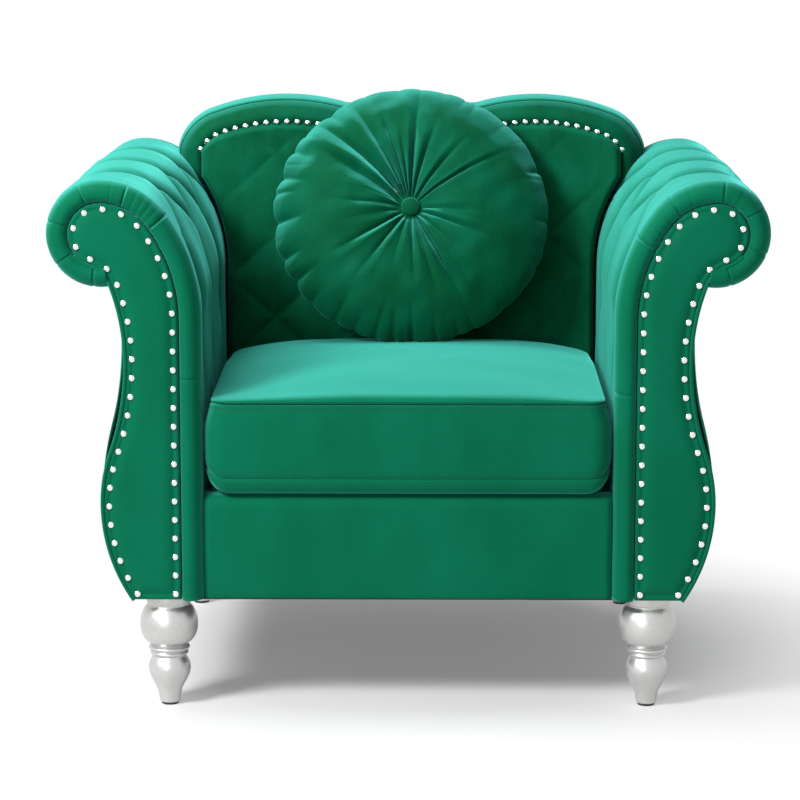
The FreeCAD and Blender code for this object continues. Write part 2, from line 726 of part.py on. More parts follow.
def build_arms():
    export_pair("arm_front_panel", arm_front_panel())
    export_pair("arm_front_board", sawn_board(PANEL_THICK, BOARD_REAR - PANEL_THICK))
    export_pair("arm_panel_piping", arm_piping())
    export_pair("arm_front_nails", arm_nails())
    export_pair("arm_band", arm_band())
    export_pair("arm_pad", arm_pad())
    export_pair("arm_top_rail", arm_top_rail())
    export_pair("arm_lower_rail", arm_lower_rail())
    export_pair("arm_rear_board", sawn_board(ARM_PAD_REAR, ARM_REAR - 6 - ARM_PAD_REAR))
    export_pair("arm_rear_cover", arm_rear_cover())
    export_pair("arm_outer_panel", arm_outer_panel())
    export_pair("side_rail", side_rail())


def build_back():
    export("back_border", back_border())
    export("back_pad", back_pad())
    export("back_nails", back_nails())
    export("back_outer_panel", back_outer_panel())
    export_pair("back_post", back_post())
    export("back_top_rail", back_top_rail())
    export("back_lower_rail", back_lower_rail())
    export("back_webbing", back_webbing())


def build_seat():
    export("front_rail_board", cross_rail(COVER_REAR))
    export("rear_rail_board", cross_rail(REAR_RAIL_DEPTH))
    export("corner_blocks", corner_blocks())
    export("seat_webbing", seat_webbing())
    export("seat_deck", seat_deck())
    export("front_rail_cover", front_rail_cover())
    export("dust_cover", dust_cover())
    export("seat_cushion_cover", seat_cushion_cover())
    export("seat_cushion_core", seat_cushion_core())
    export("cushion_zip", cushion_zip())
    export("zip_slider", zip_slider())


def build_legs():
    names = {(-1, 0): "leg_front_left", (1, 0): "leg_front_right",
             (-1, 1): "leg_rear_left", (1, 1): "leg_rear_right"}
    for (side, row), name in names.items():
        one = leg()
        one.translate(at(side * LEG_X, LEG_DEPTHS[row], 0))
        export(name, one)
    export("foot_glides", foot_glides())
    export("hanger_bolts", hanger_bolts())


def build_pillow():
    export("pillow_cover", seat_pillow(pillow_cover_flat()))
    export("pillow_filling", seat_pillow(pillow_filling_flat()))
    export("pillow_tie", seat_pillow(pillow_tie_flat()))
    export("pillow_button_front", seat_pillow(pillow_button_flat(48.0, 1)))
    export("pillow_button_rear", seat_pillow(pillow_button_flat(-26.0, -1)))


build_arms()
build_back()
build_seat()
build_legs()
build_pillow()
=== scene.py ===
"""Chesterfield armchair in velvet: the fabric, nails, legs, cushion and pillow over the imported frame.

X runs across the chair, Y from the front (-) to the back (+), Z up. Sizes are in metres. A depth is
measured backwards from the face of the arm panels, and left and right are the viewer's.
"""
import logging
import math
from dataclasses import dataclass, field
from enum import Enum
from typing import Sequence

import bmesh
import bpy
import numpy as np
from mathutils import Matrix, Vector


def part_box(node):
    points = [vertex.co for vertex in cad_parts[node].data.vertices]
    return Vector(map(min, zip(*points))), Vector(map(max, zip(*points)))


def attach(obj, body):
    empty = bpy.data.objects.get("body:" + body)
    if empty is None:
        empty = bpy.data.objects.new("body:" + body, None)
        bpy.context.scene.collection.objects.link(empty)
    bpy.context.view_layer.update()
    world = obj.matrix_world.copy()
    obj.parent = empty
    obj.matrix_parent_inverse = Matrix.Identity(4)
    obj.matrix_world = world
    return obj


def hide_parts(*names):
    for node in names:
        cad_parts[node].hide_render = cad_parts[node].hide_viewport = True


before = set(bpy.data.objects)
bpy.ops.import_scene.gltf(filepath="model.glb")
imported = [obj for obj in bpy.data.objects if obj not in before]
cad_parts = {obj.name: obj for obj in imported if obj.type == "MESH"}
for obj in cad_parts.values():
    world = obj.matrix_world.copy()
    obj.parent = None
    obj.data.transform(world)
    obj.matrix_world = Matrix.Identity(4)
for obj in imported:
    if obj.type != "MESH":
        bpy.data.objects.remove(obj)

Object, Material, Socket = bpy.types.Object, bpy.types.Material, bpy.types.NodeSocket
Pair = tuple[float, float]
Triple = tuple[float, float, float]

LOG = logging.getLogger("armchair")
FRONT_Y = -0.38675          # face of the arm panels
FRAME_BOTTOM = 0.172
ROLL_START = 0.180          # height where the length along an arm's roll is 0
PAD_BOTTOM = 0.262          # underside of the inner arm pad behind its band
SEED = 7


class Side(Enum):
    """The viewer's side of the chair; the value is the sign of X."""

    LEFT = -1
    RIGHT = 1

    @property
    def word(self) -> str:
        """The side as it stands in the names of nodes."""
        return self.name.lower()


class Slot(Enum):
    """Material slots."""

    VELVET = "velvet"
    NAILS = "nails"
    LEGS = "legs"
    GLIDES = "glides"
    WEBBING = "webbing"
    DUST_CLOTH = "dust_cloth"
    FILLING = "filling"


# Numbers
def smooth(value: np.ndarray, low: float, high: float) -> np.ndarray:
    """Smooth step from 0 at low to 1 at high."""
    t = np.clip((np.asarray(value, float) - low) / (high - low), 0.0, 1.0)
    return t * t * (3.0 - 2.0 * t)


def ripple(u: np.ndarray, v: np.ndarray, size: float, seed: int) -> np.ndarray:
    """Soft random waves over a surface, roughly from -1 to 1.

    Args:
        u: First coordinate.
        v: Second coordinate.
        size: Length of the waves.
        seed: Seed of the directions and phases.

    Returns:
        The waves at each point.
    """
    waves = 14
    dice = np.random.RandomState(seed)
    total = np.zeros(np.broadcast(u, v).shape)
    for _ in range(waves):
        turn, phase = dice.uniform(0, math.tau, 2)
        pitch = math.tau / (size * dice.uniform(0.7, 1.6))
        total += np.sin((u * math.cos(turn) + v * math.sin(turn)) * pitch + phase)
    return total / math.sqrt(waves)


def spline(points: Sequence[tuple[float, ...]], count: int) -> np.ndarray:
    """A smooth curve through points, sampled evenly in its parameter.

    Args:
        points: The points it goes through.
        count: Number of samples.

    Returns:
        The samples, one row each.
    """
    p = np.array(points, float)
    p = np.vstack([2 * p[0] - p[1], p, 2 * p[-1] - p[-2]])
    t = np.linspace(0, len(points) - 1, count)
    i = np.minimum(t.astype(int), len(points) - 2)
    f = (t - i)[:, None]
    a, b, c, d = p[i], p[i + 1], p[i + 2], p[i + 3]
    return 0.5 * (2 * b + (c - a) * f + (2 * a - 5 * b + 4 * c - d) * f ** 2
                  + (3 * b - a - 3 * c + d) * f ** 3)


def lengths(points: np.ndarray) -> np.ndarray:
    """Distance along a row of points."""
    return np.concatenate([[0.0], np.cumsum(np.linalg.norm(np.diff(points, axis=0), axis=1))])


# Meshes
def link_object(name: str, data: bpy.types.ID) -> Object:
    """Puts a new object into the scene.

    Args:
        name: Name of the object.
        data: Its mesh, camera or light.

    Returns:
        The new object, at the origin.
    """
    item = bpy.data.objects.new(name, data)
    bpy.context.scene.collection.objects.link(item)
    return item


def add_object(name: str, points: np.ndarray, faces: list, material: Material) -> Object:
    """Makes a smooth mesh object with its normals outwards.

    Args:
        name: Name of the piece.
        points: Corners, one row each.
        faces: Corner numbers of each face.
        material: Its material.

    Returns:
        The new object, at the origin.
    """
    mesh = bpy.data.meshes.new(name)
    mesh.from_pydata(np.asarray(points, float).tolist(), [], faces)
    work = bmesh.new()
    work.from_mesh(mesh)
    bmesh.ops.recalc_face_normals(work, faces=work.faces)
    work.to_mesh(mesh)
    work.free()
    mesh.shade_smooth()
    mesh.materials.append(material)
    return link_object(name, mesh)


def grid_faces(rows: int, columns: int, wrap: bool = False, first: int = 0) -> list[tuple[int, ...]]:
    """Quads between the points of a grid.

    Args:
        rows: Number of rows.
        columns: Points in a row.
        wrap: True if each row closes on itself.
        first: Number of the first point.

    Returns:
        The corner numbers of each quad.
    """
    steps = columns if wrap else columns - 1
    faces = []
    for r in range(rows - 1):
        for c in range(steps):
            n = (c + 1) % columns
            faces.append((first + r * columns + c, first + r * columns + n,
                          first + (r + 1) * columns + n, first + (r + 1) * columns + c))
    return faces


def ring_faces(rows: int, columns: int, first: int = 0) -> list[tuple[int, ...]]:
    """Quads between rings, and a flat face on the first and the last ring.

    Args:
        rows: Number of rings.
        columns: Points in a ring.
        first: Number of the first point.

    Returns:
        The corner numbers of each face.
    """
    faces = grid_faces(rows, columns, wrap=True, first=first)
    for start in (first, first + (rows - 1) * columns):
        faces.append(tuple(range(start, start + columns)))
    return faces


def rings_object(name: str, rings: np.ndarray, material: Material) -> Object:
    """A closed piece from rings that follow one another, with flat ends."""
    return add_object(name, rings.reshape(-1, 3), ring_faces(*rings.shape[:2]), material)


def poled_object(name: str, rings: np.ndarray, material: Material) -> Object:
    """A closed piece from rings, with its first and last ring gathered in one point each.

    Args:
        name: Name of the piece.
        rings: Array of rings, each a closed loop of the same number of points.
        material: Its material.

    Returns:
        The new object.
    """
    rows, columns = rings.shape[:2]
    points = np.vstack([rings.reshape(-1, 3), rings[0].mean(0), rings[-1].mean(0)])
    faces = grid_faces(rows, columns, wrap=True)
    low, high = rows * columns, rows * columns + 1
    last = (rows - 1) * columns
    for c in range(columns):
        n = (c + 1) % columns
        faces += [(low, c, n), (high, last + c, last + n)]
    return add_object(name, points, faces, material)


def slab_object(name: str, xs: np.ndarray, ys: np.ndarray, top: np.ndarray, bottom: np.ndarray,
                material: Material, keep: np.ndarray | None = None) -> Object:
    """A closed slab between two height fields over a grid, with some of its cells left out.

    Args:
        name: Name of the piece.
        xs: Places of the grid lines across.
        ys: Places of the grid lines in Y.
        top: Upper heights, by x and y.
        bottom: Lower heights, by x and y.
        material: Its material.
        keep: Which cells are kept, all if None.

    Returns:
        The new object.
    """
    nx, ny = len(xs), len(ys)
    keep = np.ones((nx - 1, ny - 1), bool) if keep is None else keep
    gx, gy = np.meshgrid(xs, ys, indexing="ij")
    points = np.concatenate([np.stack([gx, gy, z], -1).reshape(-1, 3) for z in (top, bottom)])
    shift = nx * ny
    faces = []
    for i in range(nx - 1):
        for j in range(ny - 1):
            if not keep[i, j]:
                continue
            loop = [i * ny + j, (i + 1) * ny + j, (i + 1) * ny + j + 1, i * ny + j + 1]
            faces.append(tuple(loop))
            faces.append(tuple(n + shift for n in reversed(loop)))
            sides = ((i, j - 1, 0), (i + 1, j, 1), (i, j + 1, 2), (i - 1, j, 3))
            for a, b, k in sides:
                if not (0 <= a < nx - 1 and 0 <= b < ny - 1 and keep[a, b]):
                    p, q = loop[k], loop[(k + 1) % 4]
                    faces.append((p, q, q + shift, p + shift))
    used = sorted({n for face in faces for n in face})
    number = {old: new for new, old in enumerate(used)}
    faces = [tuple(number[n] for n in face) for face in faces]
    return add_object(name, points[used], faces, material)


def turned_rings(profile: np.ndarray, sides: int) -> np.ndarray:
    """Rings of a turned shape about the Z axis.

    Args:
        profile: Radius and height of each ring.
        sides: Points in a ring.

    Returns:
        The rings.
    """
    turn = np.linspace(0, math.tau, sides, endpoint=False)
    x = profile[:, 0, None] * np.cos(turn)
    y = profile[:, 0, None] * np.sin(turn)
    z = np.repeat(profile[:, 1, None], sides, 1)
    return np.stack([x, y, z], -1)


def tube_rings(line: np.ndarray, radius: float, sides: int) -> np.ndarray:
    """Rings of a round cord along a line.

    Args:
        line: Points of its middle.
        radius: Its radius.
        sides: Points in a ring.

    Returns:
        The rings.
    """
    along = np.gradient(line, axis=0)
    along /= np.linalg.norm(along, axis=1)[:, None]
    side = np.cross(along, np.array([0.0, 1.0, 0.0]))
    side /= np.linalg.norm(side, axis=1)[:, None]
    up = np.cross(side, along)
    turn = np.linspace(0, math.tau, sides, endpoint=False)[None, :, None]
    return line[:, None] + radius * (side[:, None] * np.cos(turn) + up[:, None] * np.sin(turn))


def finish_piece(piece: Object, slot: Slot, body: str, *nodes: str, fill: float = -1.0) -> None:
    """Ties a piece to its body and hides the CAD nodes that it stands for.

    Args:
        piece: The piece.
        slot: Its material slot; not used.
        body: The CAD body that it moves with.
        nodes: The CAD nodes that it stands for.
        fill: How full it is stuffed from 0 to 1, negative if it isn't; not used.
    """
    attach(piece, body)
    if nodes:
        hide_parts(*nodes)
    LOG.info("%s: %d faces", piece.name, len(piece.data.polygons))


# Paths in the front plane
@dataclass(frozen=True)
class Arc:
    """Part of a circle in the front plane, from one angle to another in degrees."""

    centre: Pair
    radius: float
    first: float
    last: float
    hollow: bool = False

    def sample(self) -> tuple[np.ndarray, np.ndarray]:
        """Points on the arc, about half a degree apart, and their outward directions.

        Returns:
            The points and the directions.
        """
        count = max(2, int(abs(self.last - self.first) / 0.5) + 1)
        turn = np.radians(np.linspace(self.first, self.last, count))
        out = np.stack([np.cos(turn), np.sin(turn)], 1)
        return np.array(self.centre) + self.radius * out, -out if self.hollow else out


@dataclass(frozen=True)
class Track:
    """A path with its outward direction, both by the length along it."""

    length: np.ndarray
    point: np.ndarray
    normal: np.ndarray

    @staticmethod
    def join(parts: Sequence[tuple[np.ndarray, np.ndarray]], offset: float, start: float) -> "Track":
        """Joins samples into one path.

        Args:
            parts: Points and directions of each part.
            offset: How far out the length is measured.
            start: Length at the first point.

        Returns:
            The path.
        """
        point = np.concatenate([p for p, _ in parts])
        normal = np.concatenate([n for _, n in parts])
        return Track(lengths(point + offset * normal) + start, point, normal)

    def at(self, length: np.ndarray, offset: np.ndarray | float = 0.0) -> tuple[np.ndarray, np.ndarray]:
        """Places on the path or beside it.

        Args:
            length: Lengths along the path.
            offset: How far outwards.

        Returns:
            X and Z of the places.
        """
        x = np.interp(length, self.length, self.point[:, 0])
        z = np.interp(length, self.length, self.point[:, 1])
        nx = np.interp(length, self.length, self.normal[:, 0])
        nz = np.interp(length, self.length, self.normal[:, 1])
        return x + nx * offset, z + nz * offset

    def retimed(self, offset: float, start: float) -> "Track":
        """The same path with its length measured at another offset."""
        return Track.join([(self.point, self.normal)], offset, start)


def straight(a: Pair, b: Pair, out: Pair,
             count: int = 80) -> tuple[np.ndarray, np.ndarray]:
    """A straight part of a path."""
    t = np.linspace(0, 1, count)[:, None]
    return np.array(a) * (1 - t) + np.array(b) * t, np.repeat(np.array([out]), count, 0)


def bearing(start: Pair, end: Pair) -> float:
    """Direction from one point to another."""
    return math.degrees(math.atan2(end[1] - start[1], end[0] - start[0]))


@dataclass(frozen=True)
class ArmOutline:
    """Tangent arcs of the arm panel: flank, shoulder, scroll, neck, waist, bulge and foot."""

    inner_x: float = 0.338
    band: float = 0.033
    scroll: Pair = (0.452, 0.721)
    scroll_r: float = 0.046
    shoulder_r: float = 0.085
    flank_r: float = 0.230
    neck_r: float = 0.050
    waist: Pair = (0.414, 0.533)
    waist_r: float = 0.330
    bulge: Pair = (0.451, 0.318)
    bulge_r: float = 0.230
    foot_r: float = 0.260
    scroll_end: float = -100.0
    side_waist: Pair = (0.4235, 0.560)
    side_waist_r: float = 0.262
    side_bulge_x: float = 0.456
    side_bulge_r: float = 0.470
    side_top: float = 0.641

    def inner_arcs(self) -> list[Arc]:
        """Flank and shoulder.

        Returns:
            The two arcs.
        """
        shoulder = (self.scroll[0], self.scroll[1] + self.scroll_r - self.shoulder_r)
        flank_x = self.inner_x + self.flank_r
        drop = math.sqrt((self.flank_r - self.shoulder_r) ** 2 - (flank_x - self.scroll[0]) ** 2)
        flank = (flank_x, shoulder[1] - drop)
        turn = bearing(flank, shoulder)
        return [Arc(flank, self.flank_r, 180.0, turn), Arc(shoulder, self.shoulder_r, turn, 90.0)]

    def roll(self, low: float) -> Track:
        """Path of the padded roll from its foot on the inner side to its end under the scroll.

        Args:
            low: Height of the foot.

        Returns:
            The path, its length measured on the padding with 0 at 8 mm above the frame bottom.
        """
        arcs = self.inner_arcs()
        arcs.append(Arc(self.scroll, self.scroll_r, 90.0, self.scroll_end))
        flank_z = arcs[0].centre[1]
        line = straight((self.inner_x, low), (self.inner_x, flank_z), (-1.0, 0.0))
        start = low - FRAME_BOTTOM - 0.008
        return Track.join([line] + [a.sample() for a in arcs], self.band, start)

    def outer_arcs(self) -> list[Arc]:
        """Scroll, neck, waist, bulge and foot of the panel.

        Returns:
            The arcs from the top down.
        """
        waist = (self.waist[0] + self.waist_r, self.waist[1])
        neck = meeting_point(waist, self.waist_r - self.neck_r, self.scroll, self.scroll_r + self.neck_r)
        bulge = (self.bulge[0] - self.bulge_r, self.bulge[1])
        lower_r = hollow_radius(self.waist, bulge, self.bulge_r)
        lower = (self.waist[0] + lower_r, self.waist[1])
        under = bearing(self.scroll, neck)
        neck_end = bearing(waist, neck)
        return [
            Arc(self.scroll, self.scroll_r, 90.0, under),
            Arc(neck, self.neck_r, under + 180.0, neck_end, True),
            Arc(waist, self.waist_r, neck_end, 180.0, True),
            Arc(lower, lower_r, 180.0, bearing(lower, bulge) % 360, True),
            Arc(bulge, self.bulge_r, bearing(bulge, lower), 0.0),
            self.foot_arc((self.bulge[0] - self.foot_r, self.bulge[1])),
        ]

    def foot_arc(self, centre: Pair) -> Arc:
        """The arc from the bulge to the frame bottom."""
        low = -math.degrees(math.asin((centre[1] - FRAME_BOTTOM) / self.foot_r))
        return Arc(centre, self.foot_r, 0.0, low)

    def panel(self) -> Track:
        """Edge of the panel, from the foot of its inner side to the foot of its outer side.

        Returns:
            The path.
        """
        arcs = self.inner_arcs() + self.outer_arcs()
        flank_z = arcs[0].centre[1]
        line = straight((self.inner_x, FRAME_BOTTOM), (self.inner_x, flank_z), (-1.0, 0.0))
        return Track.join([line] + [a.sample() for a in arcs], 0.0, 0.0)

    def side(self) -> Track:
        """Outer side of the arm behind the panel, from under the scroll to the frame bottom.

        Returns:
            The path.
        """
        waist = (self.side_waist[0] + self.side_waist_r, self.side_waist[1])
        bulge = (self.side_bulge_x - self.side_bulge_r, self.bulge[1])
        lower_r = hollow_radius(self.side_waist, bulge, self.side_bulge_r)
        lower = (self.side_waist[0] + lower_r, self.side_waist[1])
        rise = (self.side_top - self.side_waist[1]) / self.side_waist_r
        arcs = [
            Arc(waist, self.side_waist_r, 180.0 - math.degrees(math.asin(rise)), 180.0, True),
            Arc(lower, lower_r, 180.0, bearing(lower, bulge) % 360, True),
            Arc(bulge, self.side_bulge_r, bearing(bulge, lower), 0.0),
            self.foot_arc((self.side_bulge_x - self.foot_r, self.bulge[1])),
        ]
        return Track.join([a.sample() for a in arcs], 0.0, 0.0)


def meeting_point(a: Pair, reach_a: float, b: Pair,
                  reach_b: float) -> Pair:
    """The lower of the two points at given distances from two others.

    Args:
        a: First point.
        reach_a: Distance from it.
        b: Second point.
        reach_b: Distance from it.

    Returns:
        The point.
    """
    gap = math.hypot(b[0] - a[0], b[1] - a[1])
    along = (reach_a ** 2 - reach_b ** 2 + gap ** 2) / (2 * gap)
    side = math.sqrt(reach_a ** 2 - along ** 2)
    ux, uz = (b[0] - a[0]) / gap, (b[1] - a[1]) / gap
    return a[0] + along * ux - side * uz, a[1] + along * uz + side * ux


def hollow_radius(point: Pair, bulge: Pair, bulge_r: float) -> float:
    """Radius of the hollow that is upright at a point and runs tangent into the bulge below."""
    reach, drop = point[0] - bulge[0], point[1] - bulge[1]
    return (reach ** 2 + drop ** 2 - bulge_r ** 2) / (2 * (bulge_r - reach))


# Materials
class Shader:
    """A node material under construction."""

    def __init__(self, name: str) -> None:
        """Starts a material with a Principled shader.

        Args:
            name: Name of the material.
        """
        self.material = bpy.data.materials.new(name)
        self.material.use_nodes = True
        self.tree = self.material.node_tree
        self.base = self.tree.nodes["Principled BSDF"]
        self.place = self.add("ShaderNodeTexCoord").outputs["Object"]

    def add(self, kind: str, **values) -> bpy.types.Node:
        """Adds a node.

        Args:
            kind: Its type.
            values: Attributes of the node, or values of its inputs where it has no such attribute.

        Returns:
            The node.
        """
        node = self.tree.nodes.new(kind)
        for key, value in values.items():
            if hasattr(node, key):
                setattr(node, key, value)
            else:
                node.inputs[key.replace("_", " ")].default_value = value
        return node

    def link(self, source: Socket, target: Socket) -> None:
        """Links an output to an input."""
        self.tree.links.new(source, target)

    def set(self, **values) -> None:
        """Sets inputs of the Principled shader."""
        for key, value in values.items():
            self.base.inputs[key.replace("_", " ")].default_value = value

    def noise(self, scale: float, detail: float = 3.0, stretch: Triple | None = None) -> Socket:
        """A noise over the object.

        Args:
            scale: Its scale.
            detail: Its detail.
            stretch: Factors for the three directions, None for none.

        Returns:
            The output with its value.
        """
        node = self.add("ShaderNodeTexNoise", Scale=scale, Detail=detail)
        if stretch is None:
            self.link(self.place, node.inputs["Vector"])
        else:
            mapping = self.add("ShaderNodeMapping")
            mapping.inputs["Scale"].default_value = stretch
            self.link(self.place, mapping.inputs["Vector"])
            self.link(mapping.outputs["Vector"], node.inputs["Vector"])
        return node.outputs["Fac"]

    def ramp(self, source: Socket, *stops: tuple[float, Triple]) -> Socket:
        """A colour ramp.

        Args:
            source: Output that drives it.
            stops: Place and colour of each stop.

        Returns:
            The output with the colour.
        """
        node = self.add("ShaderNodeValToRGB")
        self.link(source, node.inputs["Fac"])
        elements = node.color_ramp.elements
        while len(elements) < len(stops):
            elements.new(0.5)
        for element, (place, colour) in zip(elements, stops):
            element.position = place
            element.color = (*colour, 1.0)
        return node.outputs["Color"]

    def mix(self, factor: Socket | float, a: Socket | Triple, b: Socket | Triple) -> Socket:
        """Mixes two colours.

        Args:
            factor: An output or a number.
            a: First colour, an output or a value.
            b: Second colour, an output or a value.

        Returns:
            The output with the mixed colour.
        """
        node = self.add("ShaderNodeMix", data_type="RGBA", blend_type="MIX")
        for socket, value in ((node.inputs[0], factor), (node.inputs[6], a), (node.inputs[7], b)):
            if isinstance(value, Socket):
                self.link(value, socket)
            else:
                socket.default_value = value if isinstance(value, float) else (*value, 1.0)
        return node.outputs[2]

    def remap(self, source: Socket, low: float, high: float, to_low: float,
              to_high: float) -> Socket:
        """Maps a value from one range to another.

        Args:
            source: The output with the value.
            low: Start of its range.
            high: End of its range.
            to_low: Start of the new range.
            to_high: End of the new range.

        Returns:
            The output with the new value.
        """
        node = self.add("ShaderNodeMapRange")
        for key, value in (("From Min", low), ("From Max", high), ("To Min", to_low), ("To Max", to_high)):
            node.inputs[key].default_value = value
        self.link(source, node.inputs["Value"])
        return node.outputs["Result"]

    def bump(self, *layers: tuple) -> None:
        """Adds bump layers to the shader.

        Args:
            layers: Height output, strength and distance of each layer.
        """
        before = None
        for height, strength, distance in layers:
            node = self.add("ShaderNodeBump", Strength=strength, Distance=distance)
            self.link(height, node.inputs["Height"])
            if before is not None:
                self.link(before, node.inputs["Normal"])
            before = node.outputs["Normal"]
        self.link(before, self.base.inputs["Normal"])


@dataclass(frozen=True)
class VelvetFinish:
    """Short cotton velvet: a deep colour with a painted sheen, its base colour painted lighter where the
    pile is seen from the side, more so on faces that look up (painted top light).
    """

    name: str
    deep: Triple
    middle: Triple
    # Painted sheen colour: the light teal painted into the base colour at grazing view.
    painted_sheen_colour: Triple
    tint: Triple
    sheen: float = 0.5
    sheen_rough: float = 0.35
    mottle: float = 9.0
    contrast: float = 0.5
    # Share of the painted sheen colour at grazing view on faces that look up, about a fifth of it on faces
    # that look down.
    lift: float = 0.85
    rough: float = 0.75
    crush: float = 0.10

    def build(self) -> Material:
        """Makes the material.

        Returns:
            The material.
        """
        s = Shader(self.name)
        nap = s.noise(self.mottle, 4.0, (1.0, 1.0, 0.6))
        shade = s.remap(nap, 0.35, 0.65, 0.5 * self.contrast, 0.0)
        colour = s.mix(shade, self.middle, self.deep)
        pile = s.noise(900.0, 2.0)
        colour = s.mix(s.remap(pile, 0.35, 0.65, 0.0, 0.16), colour, self.deep)
        # Painted sheen and top light: the base colour turns towards the light sheen colour where the surface
        # is seen from the side, more on faces that look up and less on faces that look down (painted shade).
        edge = s.add("ShaderNodeLayerWeight", Blend=0.5).outputs["Facing"]
        parts = s.add("ShaderNodeSeparateXYZ")
        s.link(s.add("ShaderNodeTexCoord").outputs["Normal"], parts.inputs[0])
        painted_top_light = s.remap(parts.outputs["Z"], -0.10, 0.60, self.lift * 0.22, self.lift)
        lift = s.add("ShaderNodeMath", operation="MULTIPLY")
        s.link(s.remap(edge, 0.28, 0.90, 0.0, 1.0), lift.inputs[0])
        s.link(painted_top_light, lift.inputs[1])
        lift = lift.outputs[0]
        colour = s.mix(lift, colour, self.painted_sheen_colour)
        s.link(colour, s.base.inputs["Base Color"])
        s.link(s.remap(nap, 0.3, 0.7, self.rough + 0.06, self.rough - 0.06), s.base.inputs["Roughness"])
        s.set(Specular_IOR_Level=0.04, Sheen_Weight=self.sheen, Sheen_Roughness=self.sheen_rough)
        s.base.inputs["Sheen Tint"].default_value = (*self.tint, 1.0)
        crush = s.noise(46.0, 3.0, (1.0, 1.0, 0.7))
        s.bump((crush, self.crush, 0.004), (pile, 0.25, 0.0006))
        return s.material


@dataclass(frozen=True)
class MetalFinish:
    """Plated or painted metal with fine wear; rim is the share of a painted dark rim where the surface is
    seen from the side, a painted reflection, 0 for none.
    """

    name: str
    colour: Triple
    rough: float
    grain: float
    metallic: float = 1.0
    # Share of the painted dark rim, a painted reflection on domes.
    rim: float = 0.0
    stretch: Triple = (1.0, 1.0, 1.0)

    def build(self) -> Material:
        """Makes the material.

        Returns:
            The material.
        """
        s = Shader(self.name)
        grain = s.noise(self.grain, 4.0, self.stretch)
        dim = tuple(0.94 * c for c in self.colour)
        s.link(s.ramp(grain, (0.35, dim), (0.65, self.colour)), s.base.inputs["Base Color"])
        s.link(s.remap(grain, 0.3, 0.7, self.rough - 0.01, self.rough + 0.02), s.base.inputs["Roughness"])
        s.set(Metallic=self.metallic)
        if self.rim:
            # Painted reflection: the base colour darkens to a dark green towards the edge of the view, a
            # painted dark rim in place of the dark reflections at the edge of a dome.
            edge = s.add("ShaderNodeLayerWeight", Blend=0.5).outputs["Facing"]
            plain = s.base.inputs["Base Color"].links[0].from_socket
            shade = s.remap(edge, 0.36, 0.60, 0.0, self.rim)
            s.link(s.mix(shade, plain, (0.01, 0.02, 0.016)), s.base.inputs["Base Color"])
        else:
            s.bump((grain, 0.03, 0.0003))
        return s.material


@dataclass(frozen=True)
class PlainFinish:
    """Wood, webbing or moulded plastic, from a stretched noise."""

    name: str
    dark: Triple
    light: Triple
    scale: float
    rough: float
    stretch: Triple = (1.0, 1.0, 1.0)
    relief: float = 0.001

    def build(self) -> Material:
        """Makes the material.

        Returns:
            The material.
        """
        s = Shader(self.name)
        grain = s.noise(self.scale, 5.0, self.stretch)
        s.link(s.ramp(grain, (0.3, self.dark), (0.7, self.light)), s.base.inputs["Base Color"])
        s.link(s.remap(grain, 0.3, 0.7, self.rough + 0.05, self.rough - 0.05), s.base.inputs["Roughness"])
        s.bump((grain, 0.3, self.relief))
        return s.material


@dataclass(frozen=True)
class Finishes:
    """All materials of the chair."""

    velvet: Material
    # Darker copy of the velvet for the inside back: painted shade.
    shaded_back_velvet: Material
    # Darker copy of the velvet for the pillow and the back border: painted shade, with the crushed mottle of
    # the cloth.
    shaded_pillow_velvet: Material
    thread: Material
    nails: Material
    legs: Material
    hardware: Material
    glides: Material
    wood: Material
    webbing: Material
    dust: Material
    fibre: Material

    @staticmethod
    def make() -> "Finishes":
        """Makes every material once.

        Returns:
            The materials.
        """
        # The third colour is the painted sheen colour, painted into the base colour at grazing view.
        deep, middle, painted_sheen_colour = (0.0004, 0.052, 0.016), (0.0010, 0.124, 0.062), (0.040, 0.335, 0.275)
        tint = (0.12, 0.70, 0.64)
        return Finishes(
            velvet=VelvetFinish("velvet", deep, middle, painted_sheen_colour, tint, sheen=0.6, lift=0.85).build(),
            # A darker copy of the velvet, painted shade on the inside back, with a coarser crushed mottle.
            shaded_back_velvet=VelvetFinish("velvet_back_shaded", deep, (0.0008, 0.100, 0.048), (0.010, 0.20, 0.15),
                                     tint, sheen=0.4, mottle=26.0, contrast=1.2, lift=0.5,
                                     crush=0.3).build(),
            # A darker copy of the velvet, painted shade on the pillow and the back border; its strong mottle
            # is the crushed pile of the cloth.
            shaded_pillow_velvet=VelvetFinish("velvet_pillow_shaded", deep, (0.0002, 0.084, 0.042), painted_sheen_colour, tint,
                                       sheen=0.6, mottle=18.0, contrast=1.5, lift=0.9, crush=0.35).build(),
            thread=PlainFinish("thread", (0.001, 0.06, 0.03), (0.004, 0.14, 0.07), 900.0, 0.6).build(),
            # Nail heads carry a painted dark rim, a painted reflection.
            nails=MetalFinish("nail_heads", (0.84, 0.84, 0.81), 0.12, 60.0, rim=0.95).build(),
            legs=MetalFinish("satin_legs", (0.56, 0.56, 0.55), 0.34, 240.0, metallic=0.75).build(),
            hardware=MetalFinish("hardware", (0.55, 0.55, 0.54), 0.32, 400.0, stretch=(1, 1, 6)).build(),
            glides=PlainFinish("glides", (0.010, 0.010, 0.010), (0.022, 0.022, 0.022), 500.0, 0.5).build(),
            wood=PlainFinish("frame_wood", (0.36, 0.22, 0.11), (0.58, 0.41, 0.24), 22.0, 0.7,
                             (1.0, 0.12, 1.0)).build(),
            webbing=PlainFinish("webbing", (0.03, 0.03, 0.03), (0.10, 0.10, 0.10), 700.0, 0.9).build(),
            dust=PlainFinish("dust_cloth", (0.008, 0.008, 0.008), (0.03, 0.03, 0.03), 900.0, 0.95).build(),
            fibre=PlainFinish("filling", (0.55, 0.55, 0.52), (0.80, 0.80, 0.77), 160.0, 0.95).build(),
        )


